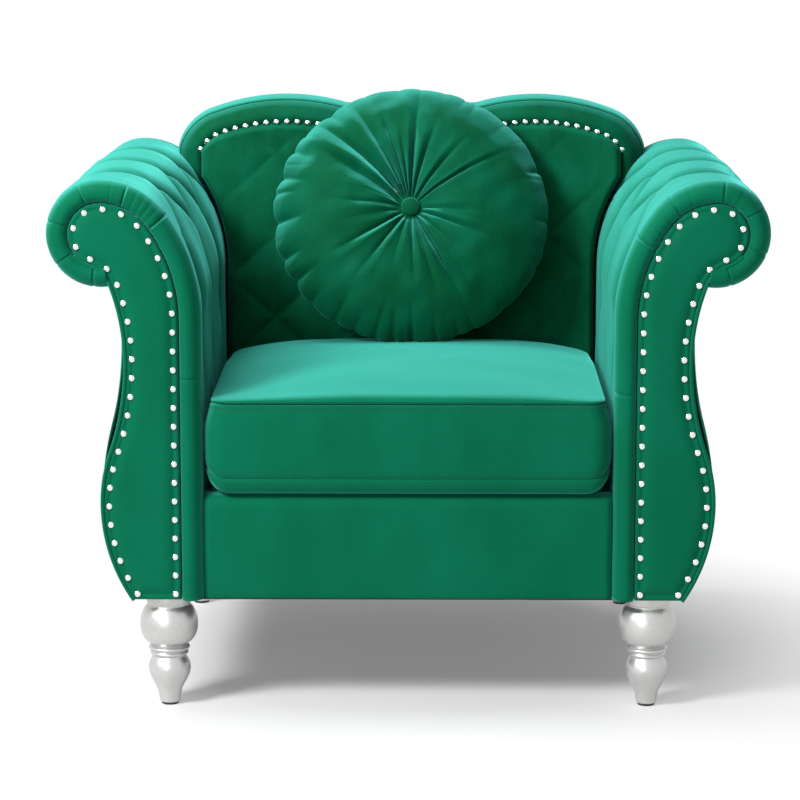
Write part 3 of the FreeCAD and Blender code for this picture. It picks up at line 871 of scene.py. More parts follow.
# Repeated pieces
class Repeater:
    """Geometry Nodes that put one small rounded shape at points or along lines."""

    def __init__(self, name: str, along_lines: bool) -> None:
        """Builds the node group.

        Args:
            name: Name of the group.
            along_lines: True to space the shapes along lines, False for one at each point.
        """
        self.group = bpy.data.node_groups.new(name, "GeometryNodeTree")
        self.along_lines = along_lines
        face = self.group.interface
        face.new_socket("Geometry", in_out="INPUT", socket_type="NodeSocketGeometry")
        face.new_socket("Geometry", in_out="OUTPUT", socket_type="NodeSocketGeometry")
        self.sockets = {key: face.new_socket(key, in_out="INPUT", socket_type=kind).identifier
                        for key, kind in (("Size", "NodeSocketVector"), ("Pitch", "NodeSocketFloat"),
                                          ("Segments", "NodeSocketInt"), ("Rings", "NodeSocketInt"),
                                          ("Material", "NodeSocketMaterial"))}
        self.build()

    def build(self) -> None:
        """Adds and links the nodes."""
        new, link = self.group.nodes.new, self.group.links.new
        entry = new("NodeGroupInput")
        leave = new("NodeGroupOutput")
        ball = new("GeometryNodeMeshUVSphere")
        ball.inputs["Radius"].default_value = 1.0
        link(entry.outputs["Segments"], ball.inputs["Segments"])
        link(entry.outputs["Rings"], ball.inputs["Rings"])
        smooth_node = new("GeometryNodeSetShadeSmooth")
        link(ball.outputs["Mesh"], smooth_node.inputs["Geometry"])
        place = new("GeometryNodeInstanceOnPoints")
        link(smooth_node.outputs["Geometry"], place.inputs["Instance"])
        link(entry.outputs["Size"], place.inputs["Scale"])
        if self.along_lines:
            curve = new("GeometryNodeMeshToCurve")
            points = new("GeometryNodeCurveToPoints")
            points.mode = "LENGTH"
            link(entry.outputs["Geometry"], curve.inputs["Mesh"])
            link(curve.outputs["Curve"], points.inputs["Curve"])
            link(entry.outputs["Pitch"], points.inputs["Length"])
            link(points.outputs["Points"], place.inputs["Points"])
            link(points.outputs["Rotation"], place.inputs["Rotation"])
        else:
            link(entry.outputs["Geometry"], place.inputs["Points"])
        real = new("GeometryNodeRealizeInstances")
        paint = new("GeometryNodeSetMaterial")
        link(place.outputs["Instances"], real.inputs["Geometry"])
        link(real.outputs["Geometry"], paint.inputs["Geometry"])
        link(entry.outputs["Material"], paint.inputs["Material"])
        link(paint.outputs["Geometry"], leave.inputs["Geometry"])

    def place(self, name: str, points: np.ndarray, edges: list, size: Triple,
              pitch: float, segments: int, rings: int, material: Material) -> Object:
        """Makes one plain mesh with all the shapes.

        Args:
            name: Name of the piece.
            points: The points.
            edges: Pairs of point numbers for lines.
            size: Half sizes of the shape.
            pitch: Distance between shapes on a line.
            segments: Sides of the shape.
            rings: Rings of the shape.
            material: Its material.

        Returns:
            The piece.
        """
        mesh = bpy.data.meshes.new(name + "_seeds")
        mesh.from_pydata(np.asarray(points, float).tolist(), edges, [])
        seed = link_object(name + "_seeds", mesh)
        modifier = seed.modifiers.new("repeat", "NODES")
        modifier.node_group = self.group
        values = {"Size": size, "Pitch": pitch, "Segments": segments, "Rings": rings, "Material": material}
        for key, value in values.items():
            modifier[self.sockets[key]] = value
        graph = bpy.context.evaluated_depsgraph_get()
        graph.update()
        done = bpy.data.meshes.new_from_object(seed.evaluated_get(graph))
        done.name = name
        if not done.materials:
            done.materials.append(material)
        piece = link_object(name, done)
        bpy.data.objects.remove(seed)
        return piece


def islands(node: str) -> list[np.ndarray]:
    """The separate solids of a CAD node.

    Args:
        node: Name of the node.

    Returns:
        The corners of each solid.
    """
    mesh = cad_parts[node].data
    count = len(mesh.vertices)
    points = np.zeros(count * 3)
    mesh.vertices.foreach_get("co", points)
    parent = list(range(count))

    def root(n: int) -> int:
        """The point that stands for the solid of point n."""
        while parent[n] != n:
            parent[n] = parent[parent[n]]
            n = parent[n]
        return n

    points = points.reshape(-1, 3)
    first_at: dict[tuple, int] = {}
    for n, place in enumerate(np.round(points, 6).tolist()):
        parent[n] = first_at.setdefault(tuple(place), n)
    for edge in mesh.edges:
        parent[root(edge.vertices[0])] = root(edge.vertices[1])
    groups: dict[int, list[int]] = {}
    for n in range(count):
        groups.setdefault(root(n), []).append(n)
    return [points[group] for group in groups.values()]


@dataclass
class NailRow:
    """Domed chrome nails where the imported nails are, 0.6 mm larger in radius than those."""

    repeater: Repeater
    finishes: Finishes
    radius: float = 0.0056
    height: float = 0.0040
    segments: int = 14
    rings: int = 8

    def build(self, node: str) -> None:
        """Makes the nails of one node.

        Args:
            node: Name of the CAD node with the nails.
        """
        seats = []
        for solid in islands(node):
            low, high = solid.min(0), solid.max(0)
            seats.append([(low[0] + high[0]) / 2, high[1], (low[2] + high[2]) / 2])
        piece = self.repeater.place("domed_" + node, np.array(seats), [],
                                    (self.radius, self.height, self.radius), 1.0,
                                    self.segments, self.rings,
                                    self.finishes.nails)
        finish_piece(piece, Slot.NAILS, "frame", node)


@dataclass(frozen=True)
class Crease:
    """A valley sewn or pulled into padding: a line on the cloth with a depth and a width."""

    start: Pair
    end: Pair
    depth: float
    width: float
    end_depth: float = -1.0
    crest: float = 0.0

    def drop(self, s: np.ndarray, q: np.ndarray) -> np.ndarray:
        """How far the crease pulls each point in.

        Args:
            s: First coordinate on the cloth.
            q: Second coordinate.

        Returns:
            The pull, positive inwards.
        """
        a, b = np.array(self.start), np.array(self.end)
        along = b - a
        size = float(np.linalg.norm(along))
        along = along / max(size, 1e-9)
        ds, dq = s - a[0], q - a[1]
        t = np.clip(ds * along[0] + dq * along[1], 0.0, size)
        near = np.hypot(ds - t * along[0], dq - t * along[1])
        last = self.depth if self.end_depth < 0 else self.end_depth
        depth = self.depth + (last - self.depth) * t / max(size, 1e-9)
        pull = depth * np.exp(-near / self.width)
        if self.crest:
            across = ds * -along[1] + dq * along[0]
            ahead = np.exp(-((across - 1.6 * self.width) / self.width) ** 2) * (near < 6 * self.width)
            pull = pull - self.crest * ahead * (depth / max(self.depth, 1e-9))
        return pull


def pull_in(creases: Sequence[Crease], s: np.ndarray, q: np.ndarray) -> np.ndarray:
    """Joint pull of several creases.

    Args:
        creases: The creases.
        s: First coordinate on the cloth.
        q: Second coordinate.

    Returns:
        The pull, positive inwards.
    """
    deepest = np.zeros(s.shape)
    crest = np.zeros(s.shape)
    for crease in creases:
        drop = crease.drop(s, q)
        deepest = np.maximum(deepest, drop)
        crest = np.minimum(crest, drop)
    return deepest + crest


@dataclass
class ArmUpholstery:
    """The cloth of one arm: tufted pad, pleated band, padded facing, welt and outer side."""

    side: Side
    finishes: Finishes
    outline: ArmOutline = field(default_factory=ArmOutline)
    rear: float = 0.722
    board_rear: float = 0.0345
    row_high: float = 0.628
    row_low: float = 0.522
    pitch: float = 0.178
    first_high: float = 0.175

    @property
    def seam_at(self) -> float:
        """Length on the roll of the sewn seam across the band."""
        return 0.327 if self.side is Side.LEFT else 0.305

    def band_pleats(self) -> list[Triple]:
        """Pleats of the band: length along the panel edge, depth and width of each.

        Returns:
            The pleats, with the length measured as on the panel edge.
        """
        if self.side is Side.LEFT:
            places = (0.557, 0.609, 0.659, 0.701, 0.741, 0.779, 0.568, 0.577, 0.586, 0.596, 0.626, 0.680)
        else:
            places = (0.524, 0.585, 0.647, 0.688, 0.730, 0.772, 0.537, 0.547, 0.557, 0.567, 0.606, 0.665)
        strong = ((0.0062, 0.0022), (0.0050, 0.0020), (0.0042, 0.0020), (0.0040, 0.0020),
                  (0.0038, 0.0020), (0.0034, 0.0022))
        fine = ((0.0012, 0.0026), (0.0016, 0.0024), (0.0012, 0.0024), (0.0014, 0.0026),
                (0.0010, 0.0026), (0.0010, 0.0026))
        return [(place, *shape) for place, shape in zip(places, strong + fine)]

    def creases(self, roll: Track) -> list[Crease]:
        """Every crease of the pad and the band.

        Args:
            roll: Path of the roll.

        Returns:
            The creases, placed by length on the roll and distance behind the band's front.
        """
        found = []
        top = float(roll.length[-1])
        fade = 0.30
        for i in range(3):
            q = self.first_high + self.pitch * i
            found.append(Crease((self.row_high, q), (top + 0.02, q), 0.015, 0.016, 0.008, 0.001))
            for way in (-1, 1):
                found.append(Crease((self.row_high, q), (self.row_low, q + way * self.pitch / 2),
                                    0.015, 0.014, 0.015))
            found.append(Crease((self.row_high, q), (self.row_high + 0.001, q), 0.021, 0.010))
        for i in range(4):
            q = self.first_high + self.pitch * (i - 0.5)
            found.append(Crease((self.row_low, q), (self.row_low - fade, q), 0.014, 0.018, 0.0))
            found.append(Crease((self.row_low, q), (self.row_low + 0.001, q), 0.020, 0.010))
        panel = roll.retimed(0.0, -0.008)
        for place, depth, width in self.band_pleats():
            s = float(np.interp(place, panel.length, roll.length))
            reach = 0.012 if depth > 0.006 else 0.002 if depth > 0.003 else -0.006
            found.append(Crease((s, -0.042), (s + 0.003, reach), depth, width, depth * 0.4, depth * 0.22))
        found.append(Crease((self.seam_at, -0.040), (self.seam_at, 0.018), 0.0022, 0.0016))
        found.append(Crease((-0.01, 0.018), (self.seam_at, 0.018), 0.0022, 0.0022))
        return found

    def section(self, rear: float) -> tuple[np.ndarray, np.ndarray, np.ndarray]:
        """Closed path round the padding in depth and offset.

        Args:
            rear: Depth of its back end.

        Returns:
            The path, its outward directions, and the distance behind the band's front.
        """
        front = spline([(0.0100, 0.0014), (0.0030, 0.0016), (-0.0020, 0.0042), (-0.0052, 0.0088),
                        (-0.0062, 0.0135), (-0.0042, 0.0205), (0.0016, 0.0270), (0.0088, 0.0312),
                        (0.0150, 0.0330)], 24)
        run = np.linspace(0.015, rear - 0.012, 158)[1:]
        top = np.stack([run, 0.033 - 0.004 * smooth(run, 0.45, 0.70)], 1)
        end = np.array([(rear - 0.006, 0.0280), (rear - 0.001, 0.0250), (rear, 0.0200), (rear, 0.0120)])
        under = np.stack([np.linspace(rear, self.board_rear, 24), np.full(24, 0.0030)], 1)
        last = np.array([(0.0200, 0.0020), (0.0130, 0.0022)])
        path = np.vstack([front, top, end, under, last])
        edge = np.roll(path, -1, 0) - np.roll(path, 1, 0)
        edge /= np.linalg.norm(edge, axis=1)[:, None]
        out = np.stack([-edge[:, 1], edge[:, 0]], 1)
        length = lengths(path)
        q = length - length[len(front) - 1]
        return path, out, q

    def pad(self) -> None:
        """The roll, inner pad and band in one piece of cloth."""
        roll = self.outline.roll(FRAME_BOTTOM)
        rail = PAD_BOTTOM - ROLL_START
        rows = [np.linspace(roll.length[0], rail - 0.0006, 14), np.linspace(rail, 0.290, 40),
                np.linspace(0.290, roll.length[-1], 190)]
        steps = np.array([-0.0050, -0.0032, -0.0018, -0.0008, 0.0, 0.0008, 0.0018, 0.0032, 0.0050])
        panel = roll.retimed(0.0, -0.008)
        marks = [float(np.interp(pleat[0], panel.length, roll.length)) for pleat in self.band_pleats()]
        rows += [mark + steps for mark in marks + [self.seam_at]]
        rows = np.unique(np.round(np.concatenate(rows), 4))
        creases = self.creases(roll)
        rings = np.zeros((len(rows), len(self.section(self.rear)[0]), 3))
        for r, s in enumerate(rows):
            path, out, q = self.section(self.rear if s >= rail else self.board_rear)
            cloth = smooth(path[:, 1], 0.0015, 0.0060) * smooth(self.rear + 0.004 - path[:, 0], 0.0, 0.03)
            at_s = np.full(len(q), s)
            shown = np.clip(q, -0.05, self.rear)
            drop = pull_in(creases, at_s, shown)
            drop = drop + 0.0012 * ripple(at_s, shown, 0.11, SEED) * smooth(shown, 0.0, 0.05)
            if s < rail:
                drop = drop * smooth(0.03 - path[:, 0], 0.0, 0.02)
            depth = path[:, 0] - drop * out[:, 0] * cloth
            offset = path[:, 1] - drop * out[:, 1] * cloth
            x, z = roll.at(at_s, offset)
            rings[r] = np.stack([self.side.value * x, FRONT_Y + depth, z], 1)
        piece = rings_object(f"arm_upholstery_{self.side.word}", rings, self.finishes.velvet)
        finish_piece(piece, Slot.VELVET, "frame", f"arm_pad_{self.side.word}",
                     f"arm_band_{self.side.word}", fill=0.85)

    def facing(self) -> None:
        """Padded panel on the front of the arm, drawn in along its row of nails."""
        panel = self.outline.panel()
        insets = [0.0, 0.0, 0.0006, 0.0020, 0.0045, 0.0070, 0.0085, 0.0105, 0.0135, 0.0175, 0.0225, 0.0280]
        depths = [0.0118, 0.0020, 0.0006, -0.0006, -0.0012, -0.0002, 0.0002, -0.0006, -0.0024, -0.0040,
                  -0.0050, -0.0054]
        rings = np.array([self.facing_ring(panel, *ring) for ring in zip(insets, depths)])
        piece = rings_object(f"arm_facing_{self.side.word}", rings, self.finishes.velvet)
        finish_piece(piece, Slot.VELVET, "frame", f"arm_front_panel_{self.side.word}", fill=0.9)

    def facing_ring(self, panel: Track, inset: float, depth: float) -> np.ndarray:
        """One ring of the facing.

        Args:
            panel: Edge of the panel.
            inset: How far inside the edge the ring runs.
            depth: Its depth.

        Returns:
            Its points.
        """
        _, height = panel.at(panel.length, -inset)
        low = FRAME_BOTTOM + 0.0008 + inset
        inside = np.nonzero(height >= low)[0]
        s = np.linspace(panel.length[inside[0]], panel.length[inside[-1]], 420)
        x, z = panel.at(s, -inset)
        z[0] = z[-1] = low
        foot = np.linspace(x[-1], x[0], 26)[1:-1]
        x = np.concatenate([x, foot])
        z = np.concatenate([z, np.full(24, low)])
        return np.stack([self.side.value * x, np.full(len(x), FRONT_Y + depth), z], 1)

    def welt(self) -> None:
        """Covered cord on the outer edge of the facing."""
        arcs = self.outline.outer_arcs()
        arcs[0] = Arc(self.outline.scroll, self.outline.scroll_r, -40.0, arcs[0].last)
        edge = Track.join([a.sample() for a in arcs], 0.0, 0.0)
        s = np.linspace(0.0, edge.length[-1] - 0.0015, 240)
        x, z = edge.at(s, 0.0022)
        line = np.stack([self.side.value * x, np.full(len(x), FRONT_Y + 0.0008), z], 1)
        piece = rings_object(f"arm_welt_{self.side.word}", tube_rings(line, 0.0032, 10),
                             self.finishes.velvet)
        finish_piece(piece, Slot.VELVET, "frame", f"arm_panel_piping_{self.side.word}")

    def outer_side(self) -> None:
        """Cloth stretched over the outer side of the arm."""
        track = self.outline.side()
        s = np.linspace(0.0, track.length[-1], 110)
        depth = np.linspace(0.003, 0.772, 120)
        gs, gd = np.meshgrid(s, depth, indexing="ij")
        edge = smooth(gd, 0.003, 0.02) * smooth(0.775 - gd, 0.0, 0.02)
        puff = 0.0012 * ripple(gs, gd, 0.22, SEED + 3) * edge - 0.0012
        outer = track.at(gs, puff - 0.0015 * (1 - edge))
        inner = track.at(gs, np.full(gs.shape, -0.0045))
        sheets = []
        for x, z in (outer, inner):
            z = np.maximum(z, FRAME_BOTTOM + 0.0005)
            sheets.append(np.stack([self.side.value * x, FRONT_Y + gd, z], -1))
        piece = sheet_object(f"arm_outside_{self.side.word}", sheets[0], sheets[1], self.finishes.velvet)
        finish_piece(piece, Slot.VELVET, "frame", f"arm_outer_panel_{self.side.word}", fill=0.95)

    def rear_cover(self) -> None:
        """Flat cover on the back end of the arm."""
        roll = self.outline.roll(FRAME_BOTTOM)
        s = np.linspace(roll.length[0], roll.length[-1], 240)
        x, z = roll.at(s, 0.0285)
        corners = [(0.438, 0.641), (0.400, 0.641), (0.400, FRAME_BOTTOM)]
        line = np.vstack([np.stack([x, z], 1), corners])
        piece = cushioned_panel(f"arm_rear_{self.side.word}", line * [self.side.value, 1],
                                0.7222, 0.728, self.finishes.velvet)
        finish_piece(piece, Slot.VELVET, "frame", f"arm_rear_cover_{self.side.word}", fill=0.95)

    def build(self, nails: NailRow) -> None:
        """Makes all pieces of the arm.

        Args:
            nails: Maker of the nails.
        """
        self.pad()
        self.facing()
        self.welt()
        self.outer_side()
        self.rear_cover()
        nails.build(f"arm_front_nails_{self.side.word}")


def sheet_object(name: str, outer: np.ndarray, inner: np.ndarray,
                 material: Material) -> Object:
    """A closed sheet between two grids of points.

    Args:
        name: Name of the piece.
        outer: Grid of the outer side.
        inner: Grid of the inner side, of the same size.
        material: Its material.

    Returns:
        The new object.
    """
    rows, columns = outer.shape[:2]
    count = rows * columns
    faces = grid_faces(rows, columns)
    faces += [tuple(n + count for n in reversed(face)) for face in grid_faces(rows, columns)]
    rim = list(range(columns))
    rim += [r * columns + columns - 1 for r in range(1, rows)]
    rim += [(rows - 1) * columns + c for c in range(columns - 2, -1, -1)]
    rim += [r * columns for r in range(rows - 2, 0, -1)]
    for a, b in zip(rim, rim[1:] + rim[:1]):
        faces.append((a, b, b + count, a + count))
    points = np.concatenate([outer.reshape(-1, 3), inner.reshape(-1, 3)])
    return add_object(name, points, faces, material)


def inset_loop(line: np.ndarray, inset: float) -> np.ndarray:
    """A closed line moved inwards.

    Args:
        line: X and Z of its points.
        inset: How far inwards.

    Returns:
        The moved points.
    """
    area = 0.5 * np.sum(line[:, 0] * np.roll(line[:, 1], -1) - np.roll(line[:, 0], -1) * line[:, 1])
    before = line - np.roll(line, 1, 0)
    after = np.roll(line, -1, 0) - line
    before /= np.linalg.norm(before, axis=1)[:, None] + 1e-12
    after /= np.linalg.norm(after, axis=1)[:, None] + 1e-12
    turn = before + after
    turn /= np.linalg.norm(turn, axis=1)[:, None] + 1e-12
    out = np.stack([turn[:, 1], -turn[:, 0]], 1) * np.sign(area)
    open_ = np.clip(np.sum(out * np.stack([after[:, 1], -after[:, 0]], 1) * np.sign(area), 1), 0.4, 1)
    return line - out * (inset / open_)[:, None]


def cushioned_panel(name: str, line: np.ndarray, near: float, far: float,
                    material: Material) -> Object:
    """A thin panel whose back face has a rounded edge.

    Args:
        name: Name of the piece.
        line: X and Z of its outline.
        near: Depth of its front face.
        far: Depth of its back face.
        material: Its material.

    Returns:
        The new object.
    """
    rings = []
    for inset, share in ((0.0, 0.0), (0.0, 0.45), (0.0006, 0.72), (0.0020, 0.92), (0.0045, 1.0)):
        loop = inset_loop(line, inset)
        depth = near + (far - near) * share
        rings.append(np.stack([loop[:, 0], np.full(len(loop), FRONT_Y + depth), loop[:, 1]], 1))
    return rings_object(name, np.array(rings), material)


@dataclass
class BackUpholstery:
    """Serpentine border, tufted inside back, outer back and the nails between them."""

    finishes: Finishes
    outline: ArmOutline = field(default_factory=ArmOutline)
    side_x: float = 0.392
    side_z: float = 0.785
    hump: Pair = (0.250, 0.870)
    dip: Triple = (0.110, 0.855, 0.8585)
    shoulder: Pair = (0.330, 0.851)
    border: float = 0.0435
    diamond: float = 0.150
    slope: float = 42.0
    crossing: float = 0.578
    groove: Pair = (0.0048, 0.012)

    def serpentine(self, inset: float, side: float, count: int = 60) -> np.ndarray:
        """Top line of the back from right to left.

        Args:
            inset: How far below the top.
            side: How far inside the sides.
            count: Points in each of its arcs.

        Returns:
            X and Z of its points.
        """
        start = (self.side_x - side, self.side_z)
        bend = (0.372 - 0.8 * side, 0.824 - 0.6 * inset)
        shoulder = (self.shoulder[0] - 0.5 * side, self.shoulder[1] - 0.87 * inset)
        hump = (self.hump[0], self.hump[1] - inset)
        end = (self.dip[0], self.dip[2] - inset)
        dip = (0.0, self.dip[1] - inset)
        right = [through(start, bend, shoulder, count), through(shoulder, hump, end, count)[1:]]
        middle = through(end, dip, (-end[0], end[1]), count)[1:-1]
        half = np.vstack(right)
        return np.vstack([half, middle, half[::-1] * [-1, 1]])

    def build_border(self) -> None:
        """Makes the padded border over the top and both sides of the back."""
        section = spline([(0.770, 0.046, 0.020), (0.738, 0.009, 0.003), (0.716, 0.002, 0.001),
                          (0.695, 0.0, 0.0), (0.665, 0.003, 0.003), (0.6560, 0.0060, 0.0058),
                          (0.6545, 0.0082, 0.0080), (0.6520, 0.0086, 0.0084), (0.641, 0.016, 0.016),
                          (0.6310, 0.027, 0.027), (0.6280, 0.034, 0.034), (0.6288, 0.0390, 0.039),
                          (0.6308, 0.0418, 0.0418), (0.6335, 0.0432, 0.0432), (0.640, 0.0440, 0.0440)], 64)
        back = np.array([(0.70, 0.0495, 0.0495), (0.769, 0.050, 0.050)])
        section = np.vstack([section, back])
        rings = []
        for depth, inset, side in section:
            top = self.serpentine(inset, side)
            right = np.array([(0.4215, 0.600), (0.4315 - side * 0.2, 0.6405), (self.side_x - side, 0.665)])
            right = straight_line(right, 14)
            left = right[::-1] * [-1, 1]
            line = np.vstack([right[:-1], straight_line(np.array([right[-1], top[0]]), 14)[:-1], top,
                              straight_line(np.array([top[-1], left[0]]), 14)[1:], left[1:]])
            rings.append(np.stack([line[:, 0], np.full(len(line), FRONT_Y + depth), line[:, 1]], 1))
        rings = np.array(rings).transpose(1, 0, 2)
        # The darker pillow velvet paints shade on the border.
        piece = rings_object("back_border_cloth", rings, self.finishes.shaded_pillow_velvet)
        finish_piece(piece, Slot.VELVET, "frame", "back_border", fill=0.85)

    def half_width(self, z: np.ndarray) -> np.ndarray:
        """Half width of the inside back between the arms.

        Args:
            z: Heights.

        Returns:
            The half width at each height.
        """
        roll = self.outline.roll(FRAME_BOTTOM)
        top = int(np.argmax(roll.point[:, 1] + self.outline.band * roll.normal[:, 1]))
        x, height = (roll.point[:top] + 0.0345 * roll.normal[:top]).T
        return np.minimum(np.interp(z, height, x), self.side_x - self.border)

    def build_pad(self) -> None:
        """Makes the tufted inside back."""
        u = np.linspace(-1, 1, 190)
        v = np.linspace(0, 1, 170)
        gu, gv = np.meshgrid(u, v, indexing="ij")
        line = self.serpentine(self.border, self.border, 80)
        order = np.argsort(line[:, 0])
        low = 0.333
        limit = self.side_x - self.border
        top = np.interp(gu * limit, line[order, 0], line[order, 1])
        z = low + gv * (top - low)
        x = gu * self.half_width(z)
        crown = through((0.560, low), (0.583, self.crossing), (0.630, 0.870), 60)
        depth = np.interp(z, crown[:, 1], crown[:, 0])
        edge = smooth(1 - np.abs(gu), 0.0, 0.03) * smooth(1 - gv, 0.0, 0.022)
        drop = self.tufting(x, z) * smooth(1 - np.abs(gu), 0.0, 0.10) * smooth(1 - gv, 0.0, 0.06)
        drop = drop + 0.0008 * ripple(x, z, 0.08, SEED + 5)
        front = np.stack([x, FRONT_Y + depth + drop + 0.010 * (1 - edge) ** 2, z], -1)
        rear = np.stack([x, np.full(x.shape, FRONT_Y + 0.660), z], -1)
        rear[..., 1] = np.maximum(rear[..., 1], front[..., 1] + 0.02)
        # The darker back velvet paints shade on the inside back.
        piece = sheet_object("back_pad_cloth", front, rear, self.finishes.shaded_back_velvet)
        finish_piece(piece, Slot.VELVET, "frame", "back_pad", fill=0.8)

    def tufting(self, x: np.ndarray, z: np.ndarray) -> np.ndarray:
        """Pull of the sewn diamond lines.

        Args:
            x: Places across.
            z: Heights.

        Returns:
            The pull, positive inwards.
        """
        slope = math.radians(self.slope)
        depth, width = self.groove
        near = np.full(x.shape, 1.0)
        for sign in (-1, 1):
            across = (x * math.sin(slope) * sign + (z - self.crossing) * math.cos(slope))
            period = self.diamond * math.sin(slope)
            gap = np.abs((across + period / 2) % period - period / 2)
            near = np.minimum(near, gap)
        fade = 0.55 + 0.45 * ripple(x, z, 0.30, SEED + 9)
        return depth * np.exp(-near / width) * np.clip(fade, 0.15, 1.0)

    def build_outside(self) -> None:
        """Makes the flat outer back."""
        side = self.outline.side()
        x, z = side.at(np.linspace(side.length[-1], 0.0, 90), 0.0)
        x[0], z[0] = x[1], FRAME_BOTTOM
        keep = z <= 0.6295
        right = np.stack([x, z], 1)[keep]
        top = self.serpentine(0.042, 0.014)
        line = np.vstack([right, [(0.378, 0.660)], top, [(-0.378, 0.660)], right[::-1] * [-1, 1]])
        piece = cushioned_panel("back_outside", line, 0.772, 0.780, self.finishes.velvet)
        finish_piece(piece, Slot.VELVET, "frame", "back_outer_panel", fill=0.95)

    def build(self, nails: NailRow) -> None:
        """Makes all pieces of the back.

        Args:
            nails: Maker of the nails.
        """
        self.build_border()
        self.build_pad()
        self.build_outside()
        nails.build("back_nails")


def through(a: Pair, b: Pair, c: Pair,
            count: int) -> np.ndarray:
    """Points on the circle from one point through a second to a third.

    Args:
        a: First point.
        b: Second point.
        c: Third point.
        count: Number of points.

    Returns:
        The points.
    """
    (ax, ay), (bx, by), (cx, cy) = a, b, c
    d = 2 * (ax * (by - cy) + bx * (cy - ay) + cx * (ay - by))
    ux = ((ax * ax + ay * ay) * (by - cy) + (bx * bx + by * by) * (cy - ay)
          + (cx * cx + cy * cy) * (ay - by)) / d
    uy = ((ax * ax + ay * ay) * (cx - bx) + (bx * bx + by * by) * (ax - cx)
          + (cx * cx + cy * cy) * (bx - ax)) / d
    radius = math.hypot(ax - ux, ay - uy)
    first = math.atan2(ay - uy, ax - ux)
    turn_b = (math.atan2(by - uy, bx - ux) - first) % math.tau
    turn_c = (math.atan2(cy - uy, cx - ux) - first) % math.tau
    if turn_b > turn_c:
        turn_c -= math.tau
    angle = first + np.linspace(0, turn_c, count)
    return np.stack([ux + radius * np.cos(angle), uy + radius * np.sin(angle)], 1)


def straight_line(corners: np.ndarray, count: int) -> np.ndarray:
    """Even points along a line with corners, which are kept.

    Args:
        corners: The corners.
        count: Points on each run.

    Returns:
        The points.
    """
    rows = [corners[:1]]
    for a, b in zip(corners, corners[1:]):
        t = np.linspace(0, 1, count)[1:, None]
        rows.append(a * (1 - t) + b * t)
    return np.vstack(rows)


def grid_lines(stops: Sequence[float], step: float) -> np.ndarray:
    """Grid lines at fixed stops and in even steps between them."""
    runs = [np.linspace(a, b, max(2, int((b - a) / step))) for a, b in zip(stops, stops[1:])]
    return np.unique(np.round(np.concatenate(runs), 6))


